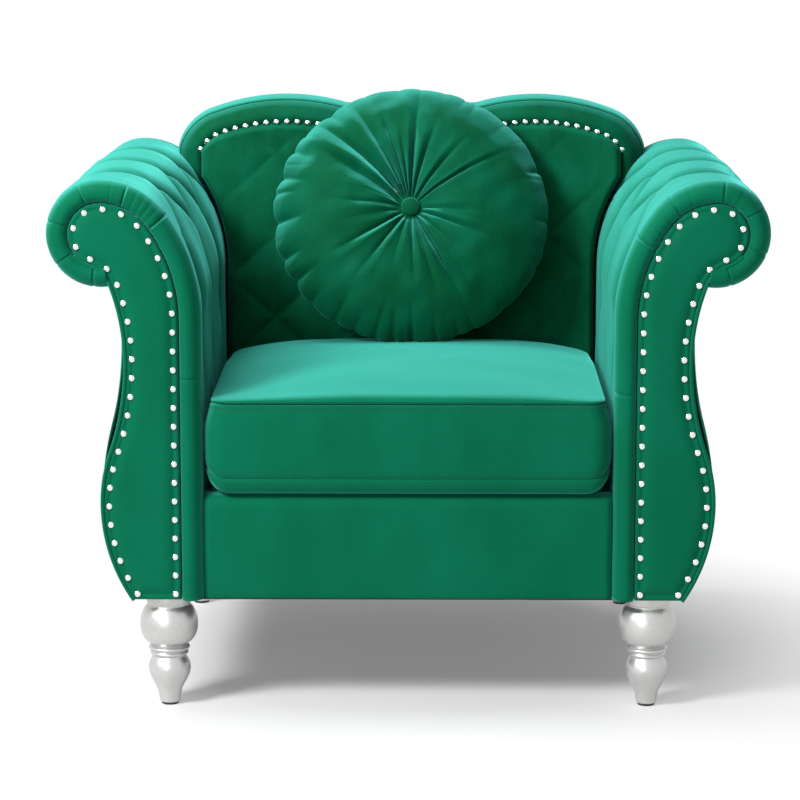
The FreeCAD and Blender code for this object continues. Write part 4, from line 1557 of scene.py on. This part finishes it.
@dataclass
class SeatUpholstery:
    """Front rail cover, deck, webbing and dust cloth."""

    finishes: Finishes
    half: float = 0.3045

    def rail_cover(self) -> None:
        """Padded cover of the front rail with a rounded top."""
        profile = spline([(0.040, 0.1725), (0.030, 0.1722), (0.014, 0.1724), (0.0105, 0.1750),
                          (0.0093, 0.185), (0.0090, 0.215), (0.0088, 0.260), (0.0090, 0.300),
                          (0.0098, 0.316), (0.0150, 0.3265), (0.0260, 0.3308), (0.0395, 0.3310)], 90)
        profile = np.vstack([profile, [(0.0395, 0.30), (0.0395, 0.20)]])
        xs = np.concatenate([np.linspace(-self.half, -self.half + 0.02, 10),
                             np.linspace(-self.half + 0.02, self.half - 0.02, 120)[1:-1],
                             np.linspace(self.half - 0.02, self.half, 10)])
        rings = []
        for x in xs:
            edge = 1 - smooth(self.half - abs(x), 0.0, 0.012)
            ring = profile.copy()
            outer = smooth(0.0395 - ring[:, 0], 0.0, 0.02)
            wave = 0.0007 * ripple(np.full(len(ring), x), ring[:, 1], 0.12, SEED + 8)
            ring[:, 0] += (0.004 * edge ** 2 + wave) * outer
            rings.append(np.stack([np.full(len(ring), x), FRONT_Y + ring[:, 0], ring[:, 1]], 1))
        piece = rings_object("front_rail_cloth", np.array(rings), self.finishes.velvet)
        finish_piece(piece, Slot.VELVET, "frame", "front_rail_cover", fill=0.9)

    def deck(self) -> None:
        """Deck pad under the cushion, softly domed."""
        low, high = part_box("seat_deck")
        xs = np.linspace(low.x, high.x, 60)
        ys = np.linspace(low.y, high.y, 50)
        gx, gy = np.meshgrid((xs - xs[0]) / (xs[-1] - xs[0]), (ys - ys[0]) / (ys[-1] - ys[0]),
                             indexing="ij")
        rim = np.minimum(np.minimum(gx, 1 - gx), np.minimum(gy, 1 - gy))
        top = high.z - 0.004 * (1 - smooth(rim, 0.0, 0.05)) - 0.001 * np.abs(ripple(gx, gy, 0.3, 3))
        piece = slab_object("seat_deck_cloth", xs, ys, top, np.full(top.shape, low.z),
                            self.finishes.velvet)
        finish_piece(piece, Slot.VELVET, "frame", "seat_deck", fill=0.9)

    def webbing(self, node: str, name: str) -> None:
        """Woven straps, each with raised edges.

        Args:
            node: The CAD node with the straps.
            name: Name of the piece.
        """
        points, faces = [], []
        for solid in islands(node):
            low, high = solid.min(0), solid.max(0)
            size = high - low
            thin = int(np.argmin(size))
            long_ = int(np.argmax(size))
            wide = 3 - thin - long_
            along = np.linspace(low[long_], high[long_], 40)
            across = np.linspace(0, 1, 9)
            thick = 0.5 + 0.5 * np.array([1.0, 0.9, 0.7, 0.62, 0.6, 0.62, 0.7, 0.9, 1.0])
            middle = (low[thin] + high[thin]) / 2
            start = len(points)
            for a in along:
                for side in (1, -1):
                    order = range(9) if side > 0 else range(8, -1, -1)
                    for k in order:
                        point = [0.0, 0.0, 0.0]
                        point[long_] = a
                        point[wide] = low[wide] + across[k] * size[wide]
                        point[thin] = middle + side * thick[k] * size[thin] / 2
                        points.append(point)
            faces += ring_faces(40, 18, start)
        piece = add_object(name, np.array(points), faces, self.finishes.webbing)
        finish_piece(piece, Slot.WEBBING, "frame", node)

    def dust_cloth(self) -> None:
        """Thin cloth under the frame, sagging a little between its tacks."""
        low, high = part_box("dust_cover")
        leg_x, reach = 0.361, 0.037
        stops = [low.x, -leg_x - reach, -leg_x + reach, leg_x - reach, leg_x + reach, high.x]
        depths = [low.y, FRONT_Y + 0.048 - reach, FRONT_Y + 0.048 + reach, FRONT_Y + 0.672 - reach,
                  FRONT_Y + 0.672 + reach, high.y]
        stops = sorted(min(max(s, low.x), high.x) for s in stops)
        depths = sorted(min(max(s, low.y), high.y) for s in depths)
        xs, ys = grid_lines(stops, 0.015), grid_lines(depths, 0.015)
        mx, my = (xs[1:] + xs[:-1]) / 2, (ys[1:] + ys[:-1]) / 2
        by_leg = (np.abs(np.abs(mx) - leg_x) < reach)[:, None] & (
            (np.abs(my - FRONT_Y - 0.048) < reach) | (np.abs(my - FRONT_Y - 0.672) < reach))[None, :]
        gx, gy = np.meshgrid(xs, ys, indexing="ij")
        sag = 0.0005 * (ripple(gx, gy, 0.09, 21) + 1.2)
        bottom = np.full(sag.shape, low.z) + np.clip(0.0004 - sag, 0, 0.0004)
        top = np.full(sag.shape, high.z)
        piece = slab_object("under_cloth", xs, ys, top, bottom, self.finishes.dust, ~by_leg)
        finish_piece(piece, Slot.DUST_CLOTH, "frame", "dust_cover")

    def build(self) -> None:
        """Makes all pieces of the seat."""
        self.rail_cover()
        self.deck()
        self.webbing("seat_webbing", "seat_straps")
        self.webbing("back_webbing", "back_straps")
        self.dust_cloth()


@dataclass
class SeatCushion:
    """Loose boxed cushion: crowned panels, bulged boxing, sewn seams and a zip at the back."""

    finishes: Finishes
    stitches: Repeater
    half: float = 0.303
    front: float = -0.005
    rear: float = 0.5455
    corner: float = 0.030
    low: float = 0.332
    draw_in: float = 0.030
    stitch: Triple = (0.0004, 0.0004, 0.0016)
    stitch_pitch: float = 0.0042

    def loop(self, inset: float) -> np.ndarray:
        """Rounded rectangle in plan.

        Args:
            inset: How far inside the largest outline.

        Returns:
            X and depth of its points.
        """
        radius = max(0.004, self.corner - 0.5 * inset)
        a = self.half - inset - radius
        d0, d1 = self.front + inset + radius, self.rear - inset - radius
        corners = ((a, d1, 0.0), (-a, d1, 90.0), (-a, d0, 180.0), (a, d0, 270.0))
        counts = (110, 90, 110, 90)
        points = []
        for (cx, cd, first), count, nxt in zip(corners, counts, corners[1:] + corners[:1]):
            turn = np.radians(np.linspace(first, first + 90.0, 12))
            arc = np.stack([cx + radius * np.cos(turn), cd + radius * np.sin(turn)], 1)
            start = np.array([nxt[0] + radius * math.cos(turn[-1]), nxt[1] + radius * math.sin(turn[-1])])
            t = np.linspace(0, 1, count)[1:-1, None]
            points += [arc, arc[-1] * (1 - t) + start * t]
        return np.vstack(points)

    def height(self, x: np.ndarray, depth: np.ndarray, z: np.ndarray, inset: float) -> np.ndarray:
        """Height of a point after the corners lift and the top crowns.

        Args:
            x: Places across.
            depth: Depths.
            z: Heights before.
            inset: Inset of the ring.

        Returns:
            The heights.
        """
        lift = 0.017 * np.clip((np.abs(x) - 0.268) / 0.035, 0, 1) ** 2
        z = z + lift * (1 - smooth(z, 0.350, 0.440))
        if z.min() > 0.471:
            side = 1 - np.clip(np.abs(x) / self.half, 0, 1) ** 2.4
            near = np.minimum(depth - self.front, self.rear - depth)
            lip = 1 - (1 - np.clip(near / 0.026, 0, 1)) ** 3
            rise = 1 - (1 - np.clip(near / 0.270, 0, 1)) ** 2
            z = z + 0.0230 * side * (0.30 * lip + 0.70 * rise) * smooth(z, 0.4705, 0.4735)
            z = z + 0.0009 * ripple(x, depth, 0.17, SEED + 11) * min(1.0, inset / 0.03)
        sunk = np.clip((np.abs(x) - 0.16) / 0.14, 0, 1) ** 2 * smooth(depth, 0.30, 0.54)
        z = z - 0.014 * sunk * smooth(z, 0.42, 0.47)
        return z

    def narrowing(self, z: float) -> float:
        """Share of the cushion's width that is left at a height, where its top draws in."""
        return 1 - self.draw_in * smooth(z, 0.425, 0.480)

    def shell(self) -> np.ndarray:
        """Rings of the cushion from the middle of its underside to the middle of its top.

        Returns:
            The rings.
        """
        centre = (self.front + self.rear) / 2
        inside = np.array([0.262, 0.22, 0.18, 0.14, 0.11, 0.085, 0.065, 0.048, 0.036, 0.027])
        under = [(i, self.low) for i in inside]
        edge = spline([(0.020, 0.3325), (0.012, 0.3355), (0.0055, 0.3425), (0.0030, 0.3505),
                       (0.0035, 0.3560), (0.0050, 0.3572), (0.0036, 0.3586), (0.0018, 0.3640),
                       (0.0006, 0.378), (0.0, 0.400), (0.0, 0.425), (0.0008, 0.448), (0.0018, 0.4610),
                       (0.0024, 0.4675), (0.0080, 0.4697), (0.0022, 0.4718), (0.0024, 0.4735),
                       (0.0052, 0.4746), (0.0110, 0.4750), (0.0200, 0.4750)], 130)
        top = [(i, 0.4750) for i in inside[::-1]]
        rings = []
        for inset, z in under + [tuple(e) for e in edge] + top:
            x, depth = self.loop(inset).T
            height = self.height(x, depth, np.full(len(x), z), inset)
            face = smooth(z, 0.360, 0.385) * (1 - smooth(z, 0.445, 0.466))
            wave = 0.0011 * ripple(np.arctan2(depth - centre, x) * 0.5, height, 0.10, SEED + 12) * face
            wave = wave * smooth(self.rear - depth, 0.004, 0.030)
            x = x * self.narrowing(z) * (1 - wave)
            depth = depth + wave * 0.6
            rings.append(np.stack([x, FRONT_Y + depth, height], 1))
        return np.array(rings)

    def seam_line(self, target: float, inset: float) -> np.ndarray:
        """Line of stitches round the cushion.

        Args:
            target: Height of the line.
            inset: Its inset.

        Returns:
            Its points.
        """
        x, depth = self.loop(inset).T
        z = self.height(x, depth, np.full(len(x), target), inset)
        return np.stack([x * self.narrowing(target), FRONT_Y + depth, z], 1)

    def build(self) -> None:
        """Makes the cushion, its stitches, core and zip."""
        piece = poled_object("seat_cushion_cloth", self.shell(), self.finishes.velvet)
        finish_piece(piece, Slot.VELVET, "seat_cushion", "seat_cushion_cover", fill=0.9)
        lines = [self.seam_line(0.4625, 0.0014), self.seam_line(0.3645, 0.0012),
                 self.seam_line(0.3500, 0.0024)]
        points = np.vstack(lines)
        edges, first = [], 0
        for line in lines:
            count = len(line)
            edges += [(first + i, first + (i + 1) % count) for i in range(count)]
            first += count
        stitch = self.stitches.place("seat_cushion_stitches", points, edges, self.stitch,
                                     self.stitch_pitch, 6, 4, self.finishes.thread)
        finish_piece(stitch, Slot.VELVET, "seat_cushion")
        self.core()
        self.zip()

    def core(self) -> None:
        """Foam core with rounded edges."""
        low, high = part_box("seat_cushion_core")
        centre = (low + high) / 2
        half = (high - low) / 2
        profile = [(0.30, -1.0), (0.8, -1.0), (0.97, -0.97), (1.0, -0.85), (1.0, 0.85), (0.97, 0.97),
                   (0.8, 1.0), (0.30, 1.0)]
        turn = np.linspace(0, math.tau, 96, endpoint=False)
        square = np.stack([np.cos(turn), np.sin(turn)], 1)
        square = np.sign(square) * np.abs(square) ** 0.12
        rings = [np.column_stack([centre.x + half.x * size * square[:, 0],
                                  centre.y + half.y * size * square[:, 1],
                                  np.full(96, centre.z + half.z * rise)]) for size, rise in profile]
        piece = poled_object("seat_cushion_foam", np.array(rings), self.finishes.fibre)
        finish_piece(piece, Slot.FILLING, "seat_cushion", "seat_cushion_core", fill=1.0)

    def zip(self) -> None:
        """Zip tape with its row of teeth, and the slider."""
        low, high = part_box("cushion_zip")
        ys = np.linspace(low.z, high.z, 26)
        xs = np.linspace(low.x, high.x, 120)
        middle = (low.z + high.z) / 2
        gx, gz = np.meshgrid(xs, ys, indexing="ij")
        ridge = 0.0004 * (1 - smooth(np.abs(gz - middle), 0.002, 0.004))
        outer = np.stack([gx, np.full(gx.shape, high.y - 0.0004) + ridge, gz], -1)
        inner = np.stack([gx, np.full(gx.shape, low.y), gz], -1)
        piece = sheet_object("zip_tape", outer, inner, self.finishes.thread)
        finish_piece(piece, Slot.VELVET, "seat_cushion", "cushion_zip")
        assign(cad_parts["zip_slider"], self.finishes.hardware)


@dataclass
class Pillow:
    """Round pillow of gathered velvet, drawn in to a covered button on each side."""

    finishes: Finishes
    radius: float = 0.225
    squash: float = 0.965
    depth: float = 0.527
    height: float = 0.6871
    lean: float = 24.0
    gather: float = 0.0066
    small_pleats: int = 30

    def place(self, points: np.ndarray) -> np.ndarray:
        """Moves points from the pillow's own axis to where it leans.

        Args:
            points: The points, Z along the axis.

        Returns:
            The moved points.
        """
        rotation = np.array(Matrix.Rotation(math.radians(90.0 - self.lean), 3, "X"))
        origin = np.array([0.0, FRONT_Y + self.depth, self.height])
        return (points.reshape(-1, 3) @ rotation.T + origin).reshape(points.shape)

    def front_folds(self) -> list[tuple[float, float, float, float, float]]:
        """The folds that are drawn in by the front button.

        Returns:
            Angle in degrees, depth, reach as a share of the radius, width, and bend of each fold.
        """
        return [
            (112.0, 0.0150, 1.10, 0.022, 5.0), (126.0, 0.0230, 1.16, 0.034, 8.0),
            (104.0, 0.0100, 0.86, 0.014, 2.0), (143.0, 0.0150, 0.96, 0.050, 3.0),
            (97.0, 0.0070, 0.70, 0.012, 0.0), (88.0, 0.0120, 0.96, 0.018, -2.0),
            (77.0, 0.0080, 0.80, 0.022, -4.0), (58.0, 0.0060, 0.80, 0.020, -7.0),
            (38.0, 0.0070, 0.94, 0.012, -6.0), (-6.0, 0.0030, 0.60, 0.030, 2.0),
            (-25.0, 0.0060, 0.74, 0.024, 4.0), (-45.0, 0.0040, 0.62, 0.024, 2.0),
            (-62.0, 0.0125, 0.92, 0.018, 1.0), (-73.0, 0.0070, 0.80, 0.018, -1.0),
            (-88.0, 0.0065, 0.70, 0.022, 2.0), (-107.0, 0.0030, 0.56, 0.026, 3.0),
            (-124.0, 0.0070, 0.76, 0.024, -3.0), (-144.0, 0.0085, 0.80, 0.024, -6.0),
            (-166.0, 0.0035, 0.60, 0.034, -3.0), (174.0, 0.0055, 0.66, 0.028, 2.0),
            (158.0, 0.0040, 0.60, 0.034, 3.0),
        ]

    def rear_folds(self) -> list[tuple[float, float, float, float, float]]:
        """The folds at the rear button.

        Returns:
            The same five numbers for each fold.
        """
        dice = np.random.RandomState(SEED + 1)
        return [(i * 15.0 + dice.uniform(-4, 4), dice.uniform(0.005, 0.010), dice.uniform(0.4, 0.75),
                 dice.uniform(0.015, 0.024), dice.uniform(-5, 5)) for i in range(24)]

    def fold_field(self, angle: np.ndarray, r: np.ndarray, folds: list) -> np.ndarray:
        """Pull of the folds round a button.

        Args:
            angle: Angle round the pillow.
            r: Distance from its axis as a share of the radius.
            folds: The folds.

        Returns:
            The pull, positive inwards.
        """
        pull = np.zeros(angle.shape)
        crest = np.zeros(angle.shape)
        for degrees, depth, reach, width, bend in folds:
            at = math.radians(degrees) + math.radians(bend) * r
            off = ((angle - at + math.pi) % math.tau - math.pi) * r
            size = width * (0.25 + 0.75 * r / 0.5)
            body = depth * (1 - smooth(r, reach * 0.45, reach)) * smooth(r, 0.05, 0.15)
            pull = np.maximum(pull, body * np.exp(-np.abs(off) / size))
            crest = np.maximum(crest, 0.30 * body * np.exp(-((off - 2.2 * size) / (1.1 * size)) ** 2))
        return pull - crest

    def gathers(self, angle: np.ndarray, r: np.ndarray) -> np.ndarray:
        """Pull of the short pleats along the rim.

        Args:
            angle: Angle round the pillow.
            r: Distance from its axis as a share of the radius.

        Returns:
            The pull, positive inwards.
        """
        dice = np.random.RandomState(SEED)
        pleats = [(20.0, 1.0, 0.030, 0.86), (66.0, 0.5, 0.030, 0.84), (127.0, 1.0, 0.060, 0.70),
                  (150.0, 0.9, 0.040, 0.80), (163.0, 1.3, 0.046, 0.74), (171.0, 0.7, 0.026, 0.80),
                  (184.0, 1.4, 0.050, 0.72), (201.0, 1.0, 0.036, 0.80), (212.0, 1.4, 0.044, 0.74),
                  (224.0, 0.6, 0.026, 0.84), (237.0, 1.0, 0.030, 0.74), (246.0, 0.6, 0.022, 0.82),
                  (255.0, 1.0, 0.026, 0.66), (263.0, 0.8, 0.022, 0.72), (271.0, 1.0, 0.024, 0.68),
                  (281.0, 0.7, 0.024, 0.76), (297.0, 0.6, 0.030, 0.82)]
        pleats = [(math.radians(place), *rest) for place, *rest in pleats]
        for i in range(self.small_pleats):
            at = (i + dice.uniform(-0.35, 0.35)) * math.tau / self.small_pleats
            pleats.append((at, dice.uniform(0.1, 0.5), dice.uniform(0.012, 0.026), dice.uniform(0.74, 0.90)))
        rim = np.zeros(angle.shape)
        for at, size, width, start in pleats:
            bend = dice.uniform(-0.12, 0.12)
            off = np.abs((angle - at - bend * (1 - r) + math.pi) % math.tau - math.pi)
            rim = np.maximum(rim, size * np.exp(-off / width) * smooth(r, start, 0.98))
        return self.gather * rim

    def cover(self) -> None:
        """The gathered cover."""
        front = [(0.0, 0.0452), (0.010, 0.0456), (0.020, 0.0475), (0.032, 0.0545), (0.058, 0.0615),
                 (0.104, 0.0622), (0.145, 0.0545), (0.177, 0.0430), (0.205, 0.0255), (0.2215, 0.0085),
                 (0.2250, 0.0)]
        back = [(0.2215, -0.0070), (0.212, -0.0125), (0.185, -0.0230), (0.150, -0.0305), (0.105, -0.0345),
                (0.072, -0.0345), (0.045, -0.0315), (0.028, -0.0265), (0.014, -0.0240), (0.0, -0.0236)]
        profile = spline(front + back, 190)[1:-1]
        sides = 420
        turn = np.linspace(0, math.tau, sides, endpoint=False)
        r = np.maximum(profile[:, 0], 0.0005)[:, None] * np.ones(sides)
        h = profile[:, 1][:, None] * np.ones(sides)
        angle = np.broadcast_to(turn, r.shape)
        share = r / self.radius
        is_front = (np.arange(len(profile)) < int(np.argmax(profile[:, 0])) + 1)[:, None]
        pull = np.where(is_front, self.fold_field(angle, share, self.front_folds()),
                        self.fold_field(angle, share, self.rear_folds()))
        pull = pull + self.gathers(angle, share)
        tangent = np.gradient(profile, axis=0)
        tangent /= np.linalg.norm(tangent, axis=1)[:, None]
        out_r, out_h = -tangent[:, 1][:, None], tangent[:, 0][:, None]
        pull = pull + 0.0009 * ripple(r * np.cos(angle), r * np.sin(angle), 0.05, SEED + 4)
        r2 = r - out_r * pull
        h2 = h - out_h * pull
        points = np.stack([r2 * np.cos(angle), r2 * np.sin(angle) * self.squash, h2], -1)
        rings = self.place(points)
        piece = poled_object("pillow_cloth", rings, self.finishes.shaded_pillow_velvet)
        finish_piece(piece, Slot.VELVET, "pillow", "pillow_cover", fill=0.8)

    def button(self, node: str, base: float, way: int) -> None:
        """A covered button.

        Args:
            node: The CAD node it stands for.
            base: Height of its back on the pillow's axis.
            way: 1 if it looks forwards, -1 if backwards.
        """
        profile = spline([(0.0005, 0.0), (0.008, 0.0), (0.0135, 0.0006), (0.0150, 0.0022), (0.0138, 0.0046),
                          (0.0095, 0.0068), (0.0045, 0.0078), (0.0005, 0.0080)], 30)
        profile[:, 1] = base + way * profile[:, 1]
        rings = turned_rings(profile, 40)
        rings = self.place(rings)
        piece = poled_object("covered_" + node, rings, self.finishes.shaded_pillow_velvet)
        finish_piece(piece, Slot.VELVET, "pillow", node)

    def inside(self) -> None:
        """Fibre filling."""
        profile = spline([(0.004, -0.019), (0.09, -0.020), (0.150, -0.012), (0.193, -0.001),
                          (0.164, 0.021), (0.080, 0.037), (0.004, 0.037)], 50)
        rings = turned_rings(profile, 90)
        rings[..., 2] += 0.0008 * ripple(rings[..., 0], rings[..., 1], 0.04, 5)
        rings = self.place(rings)
        piece = poled_object("pillow_fibre", rings, self.finishes.fibre)
        finish_piece(piece, Slot.FILLING, "pillow", "pillow_filling", fill=0.8)

    def build(self) -> None:
        """Makes all pieces of the pillow."""
        self.cover()
        self.button("pillow_button_front", 0.048, 1)
        self.button("pillow_button_rear", -0.026, -1)
        self.inside()
        assign(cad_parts["pillow_tie"], self.finishes.thread)


@dataclass
class Legs:
    """Four turned legs in satin silver, with glides."""

    finishes: Finishes
    x: float = 0.361
    depths: Pair = (0.048, 0.672)

    def profile(self) -> np.ndarray:
        """Turned outline of a leg.

        Returns:
            Radius and height of each ring from the top down.
        """
        return spline([
            (0.0335, 0.1719), (0.0338, 0.1660), (0.0336, 0.1600), (0.0325, 0.1570), (0.0335, 0.1545),
            (0.0375, 0.1490), (0.0415, 0.1400), (0.0435, 0.1290), (0.0432, 0.1180), (0.0405, 0.1080),
            (0.0355, 0.1005), (0.0300, 0.0960), (0.0272, 0.0935), (0.0275, 0.0922), (0.0305, 0.0905),
            (0.0310, 0.0880), (0.0290, 0.0857), (0.0268, 0.0845), (0.0270, 0.0832), (0.0285, 0.0815),
            (0.0282, 0.0792), (0.0258, 0.0776), (0.0253, 0.0762), (0.0270, 0.0725), (0.0302, 0.0660),
            (0.0319, 0.0580), (0.0310, 0.0500), (0.0270, 0.0400), (0.0218, 0.0300), (0.0183, 0.0220),
            (0.0163, 0.0120), (0.0154, 0.0060), (0.0148, 0.0042)], 170)

    def build(self) -> None:
        """Makes the legs and the glides."""
        rings = turned_rings(self.profile(), 72)
        for end, depth in zip(("front", "rear"), self.depths):
            for side in Side:
                node = f"leg_{end}_{side.word}"
                moved = rings + np.array([side.value * self.x, FRONT_Y + depth, 0.0])
                piece = rings_object("turned_" + node, moved, self.finishes.legs)
                finish_piece(piece, Slot.LEGS, "frame", node)
        self.glides()

    def glides(self) -> None:
        """Round plastic glides under the legs."""
        profile = np.array([(0.0120, 0.0042), (0.0130, 0.0036), (0.0130, 0.0008), (0.0122, 0.0)])
        points, faces = [], []
        for side in (-1, 1):
            for depth in self.depths:
                rings = turned_rings(profile, 40) + np.array([side * self.x, FRONT_Y + depth, 0.0])
                start = len(points)
                points += rings.reshape(-1, 3).tolist()
                faces += ring_faces(4, 40, start)
        piece = add_object("round_glides", np.array(points), faces, self.finishes.glides)
        finish_piece(piece, Slot.GLIDES, "frame", "foot_glides")


def assign(node: Object, material: Material) -> None:
    """Gives a CAD node a material.

    Args:
        node: The node's object.
        material: The material.
    """
    if not node.material_slots:
        node.data.materials.append(material)
    for place in node.material_slots:
        place.material = material


@dataclass
class Studio:
    """White floor, soft lights and the camera of the photograph."""

    lens: float = 134.1
    place: Triple = (0.0365, -4.70675, 1.266)
    pitch: float = 10.353
    yaw: float = 0.636
    surroundings: float = 0.34
    target: Triple = (0.0, 0.0, 0.45)
    sky: tuple[Pair, Pair] = ((0.10, 0.06), (0.42, 1.0))
    floor_size: float = 14.0
    floor_shade: float = 0.75
    floor_fade: tuple[float, ...] = (0.38, 0.88, 0.16, 1.0)
    lamps: tuple[tuple[str, Triple, float, float], ...] = (
        ("key", (-2.2, -2.3, 2.7), 1.0, 178.0),
        ("fill", (-1.4, -4.2, 1.2), 1.6, 34.0),
        ("top", (-0.9, 0.2, 2.8), 1.3, 62.0),
    )

    def camera(self) -> None:
        """Adds the camera."""
        data = bpy.data.cameras.new("camera")
        data.lens = self.lens
        data.sensor_width = 36.0
        data.clip_end = 100.0
        camera = link_object("camera", data)
        camera.location = self.place
        camera.rotation_euler = (math.radians(90.0 - self.pitch), 0.0, math.radians(self.yaw))
        bpy.context.scene.camera = camera

    def floor(self) -> None:
        """Adds the floor, which glows more the farther it is from the chair and so lights it a little."""
        size = self.floor_size
        points = np.array([(-size, -size, 0), (size, -size, 0), (size, size, 0), (-size, size, 0)])
        s = Shader("floor")
        s.set(Roughness=0.6, Specular_IOR_Level=0.2)
        s.base.inputs["Base Color"].default_value = (*[self.floor_shade] * 3, 1.0)
        distance = s.add("ShaderNodeVectorMath", operation="LENGTH")
        s.link(s.place, distance.inputs[0])
        fade = s.remap(distance.outputs["Value"], *self.floor_fade)
        glow = s.add("ShaderNodeEmission", Strength=1.0)
        blend = s.add("ShaderNodeMixShader")
        out = s.tree.nodes["Material Output"]
        s.link(fade, blend.inputs[0])
        s.link(s.base.outputs[0], blend.inputs[1])
        s.link(glow.outputs[0], blend.inputs[2])
        s.link(blend.outputs[0], out.inputs["Surface"])
        floor = add_object("floor", points, [(0, 1, 2, 3)], s.material)

    def light(self, name: str, place: Triple, size: float, power: float) -> None:
        """Adds a soft light.

        Args:
            name: Its name.
            place: Where it is.
            size: Its width.
            power: Its power in watts.
        """
        data = bpy.data.lights.new(name, "AREA")
        data.energy = power
        data.size = size
        lamp = link_object(name, data)
        lamp.location = place
        way = Vector(self.target) - Vector(place)
        lamp.rotation_euler = way.to_track_quat("-Z", "Y").to_euler()

    def world(self, level: float) -> None:
        """Sets the surroundings: white where they are seen, softer as light.

        Args:
            level: Strength of their light.
        """
        world = bpy.data.worlds.new("studio")
        bpy.context.scene.world = world
        world.use_nodes = True
        tree = world.node_tree
        new, link = tree.nodes.new, tree.links.new
        sky = tree.nodes["Background"]
        sky.inputs["Strength"].default_value = level
        way = new("ShaderNodeTexCoord")
        parts = new("ShaderNodeSeparateXYZ")
        rise = new("ShaderNodeValToRGB")
        link(way.outputs["Generated"], parts.inputs[0])
        link(parts.outputs["Z"], rise.inputs["Fac"])
        link(rise.outputs["Color"], sky.inputs["Color"])
        for element, (height, shade) in zip(rise.color_ramp.elements, self.sky):
            element.position = height
            element.color = (shade, shade, shade, 1.0)
        white = new("ShaderNodeBackground")
        white.inputs["Color"].default_value = (1.0, 1.0, 1.0, 1.0)
        rays = new("ShaderNodeLightPath")
        blend = new("ShaderNodeMixShader")
        seen = rays.outputs["Is Camera Ray"]
        for kind in ("Is Glossy Ray", "Is Transmission Ray"):
            either = new("ShaderNodeMath")
            either.operation = "MAXIMUM"
            link(seen, either.inputs[0])
            link(rays.outputs[kind], either.inputs[1])
            seen = either.outputs[0]
        link(seen, blend.inputs[0])
        link(sky.outputs[0], blend.inputs[1])
        link(white.outputs[0], blend.inputs[2])
        link(blend.outputs[0], tree.nodes["World Output"].inputs["Surface"])

    def build(self) -> None:
        """Sets the stage."""
        self.camera()
        self.floor()
        self.world(self.surroundings)
        for lamp in self.lamps:
            self.light(*lamp)
        bpy.context.scene.view_settings.view_transform = "Standard"


def dress_frame(finishes: Finishes) -> None:
    """Gives every CAD node that still shows its material.

    Args:
        finishes: The materials.
    """
    pairs = ("arm_front_board", "arm_rear_board", "arm_top_rail", "arm_lower_rail", "side_rail",
             "back_post")
    woods = [f"{pair}_{side.word}" for pair in pairs for side in Side]
    woods += ["back_top_rail", "back_lower_rail", "front_rail_board", "rear_rail_board", "corner_blocks"]
    for name in woods:
        assign(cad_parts[name], finishes.wood)
    assign(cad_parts["hanger_bolts"], finishes.hardware)


def main() -> None:
    """Builds the whole scene."""
    logging.basicConfig(level=logging.INFO, format="%(name)s %(message)s")
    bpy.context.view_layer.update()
    finishes = Finishes.make()
    nails = NailRow(Repeater("nail_repeater", along_lines=False), finishes)
    stitches = Repeater("stitch_repeater", along_lines=True)
    for side in Side:
        ArmUpholstery(side, finishes).build(nails)
    BackUpholstery(finishes).build(nails)
    SeatUpholstery(finishes).build()
    SeatCushion(finishes, stitches).build()
    Pillow(finishes).build()
    Legs(finishes).build()
    dress_frame(finishes)
    Studio().build()


if __name__ == "__main__":
    main()
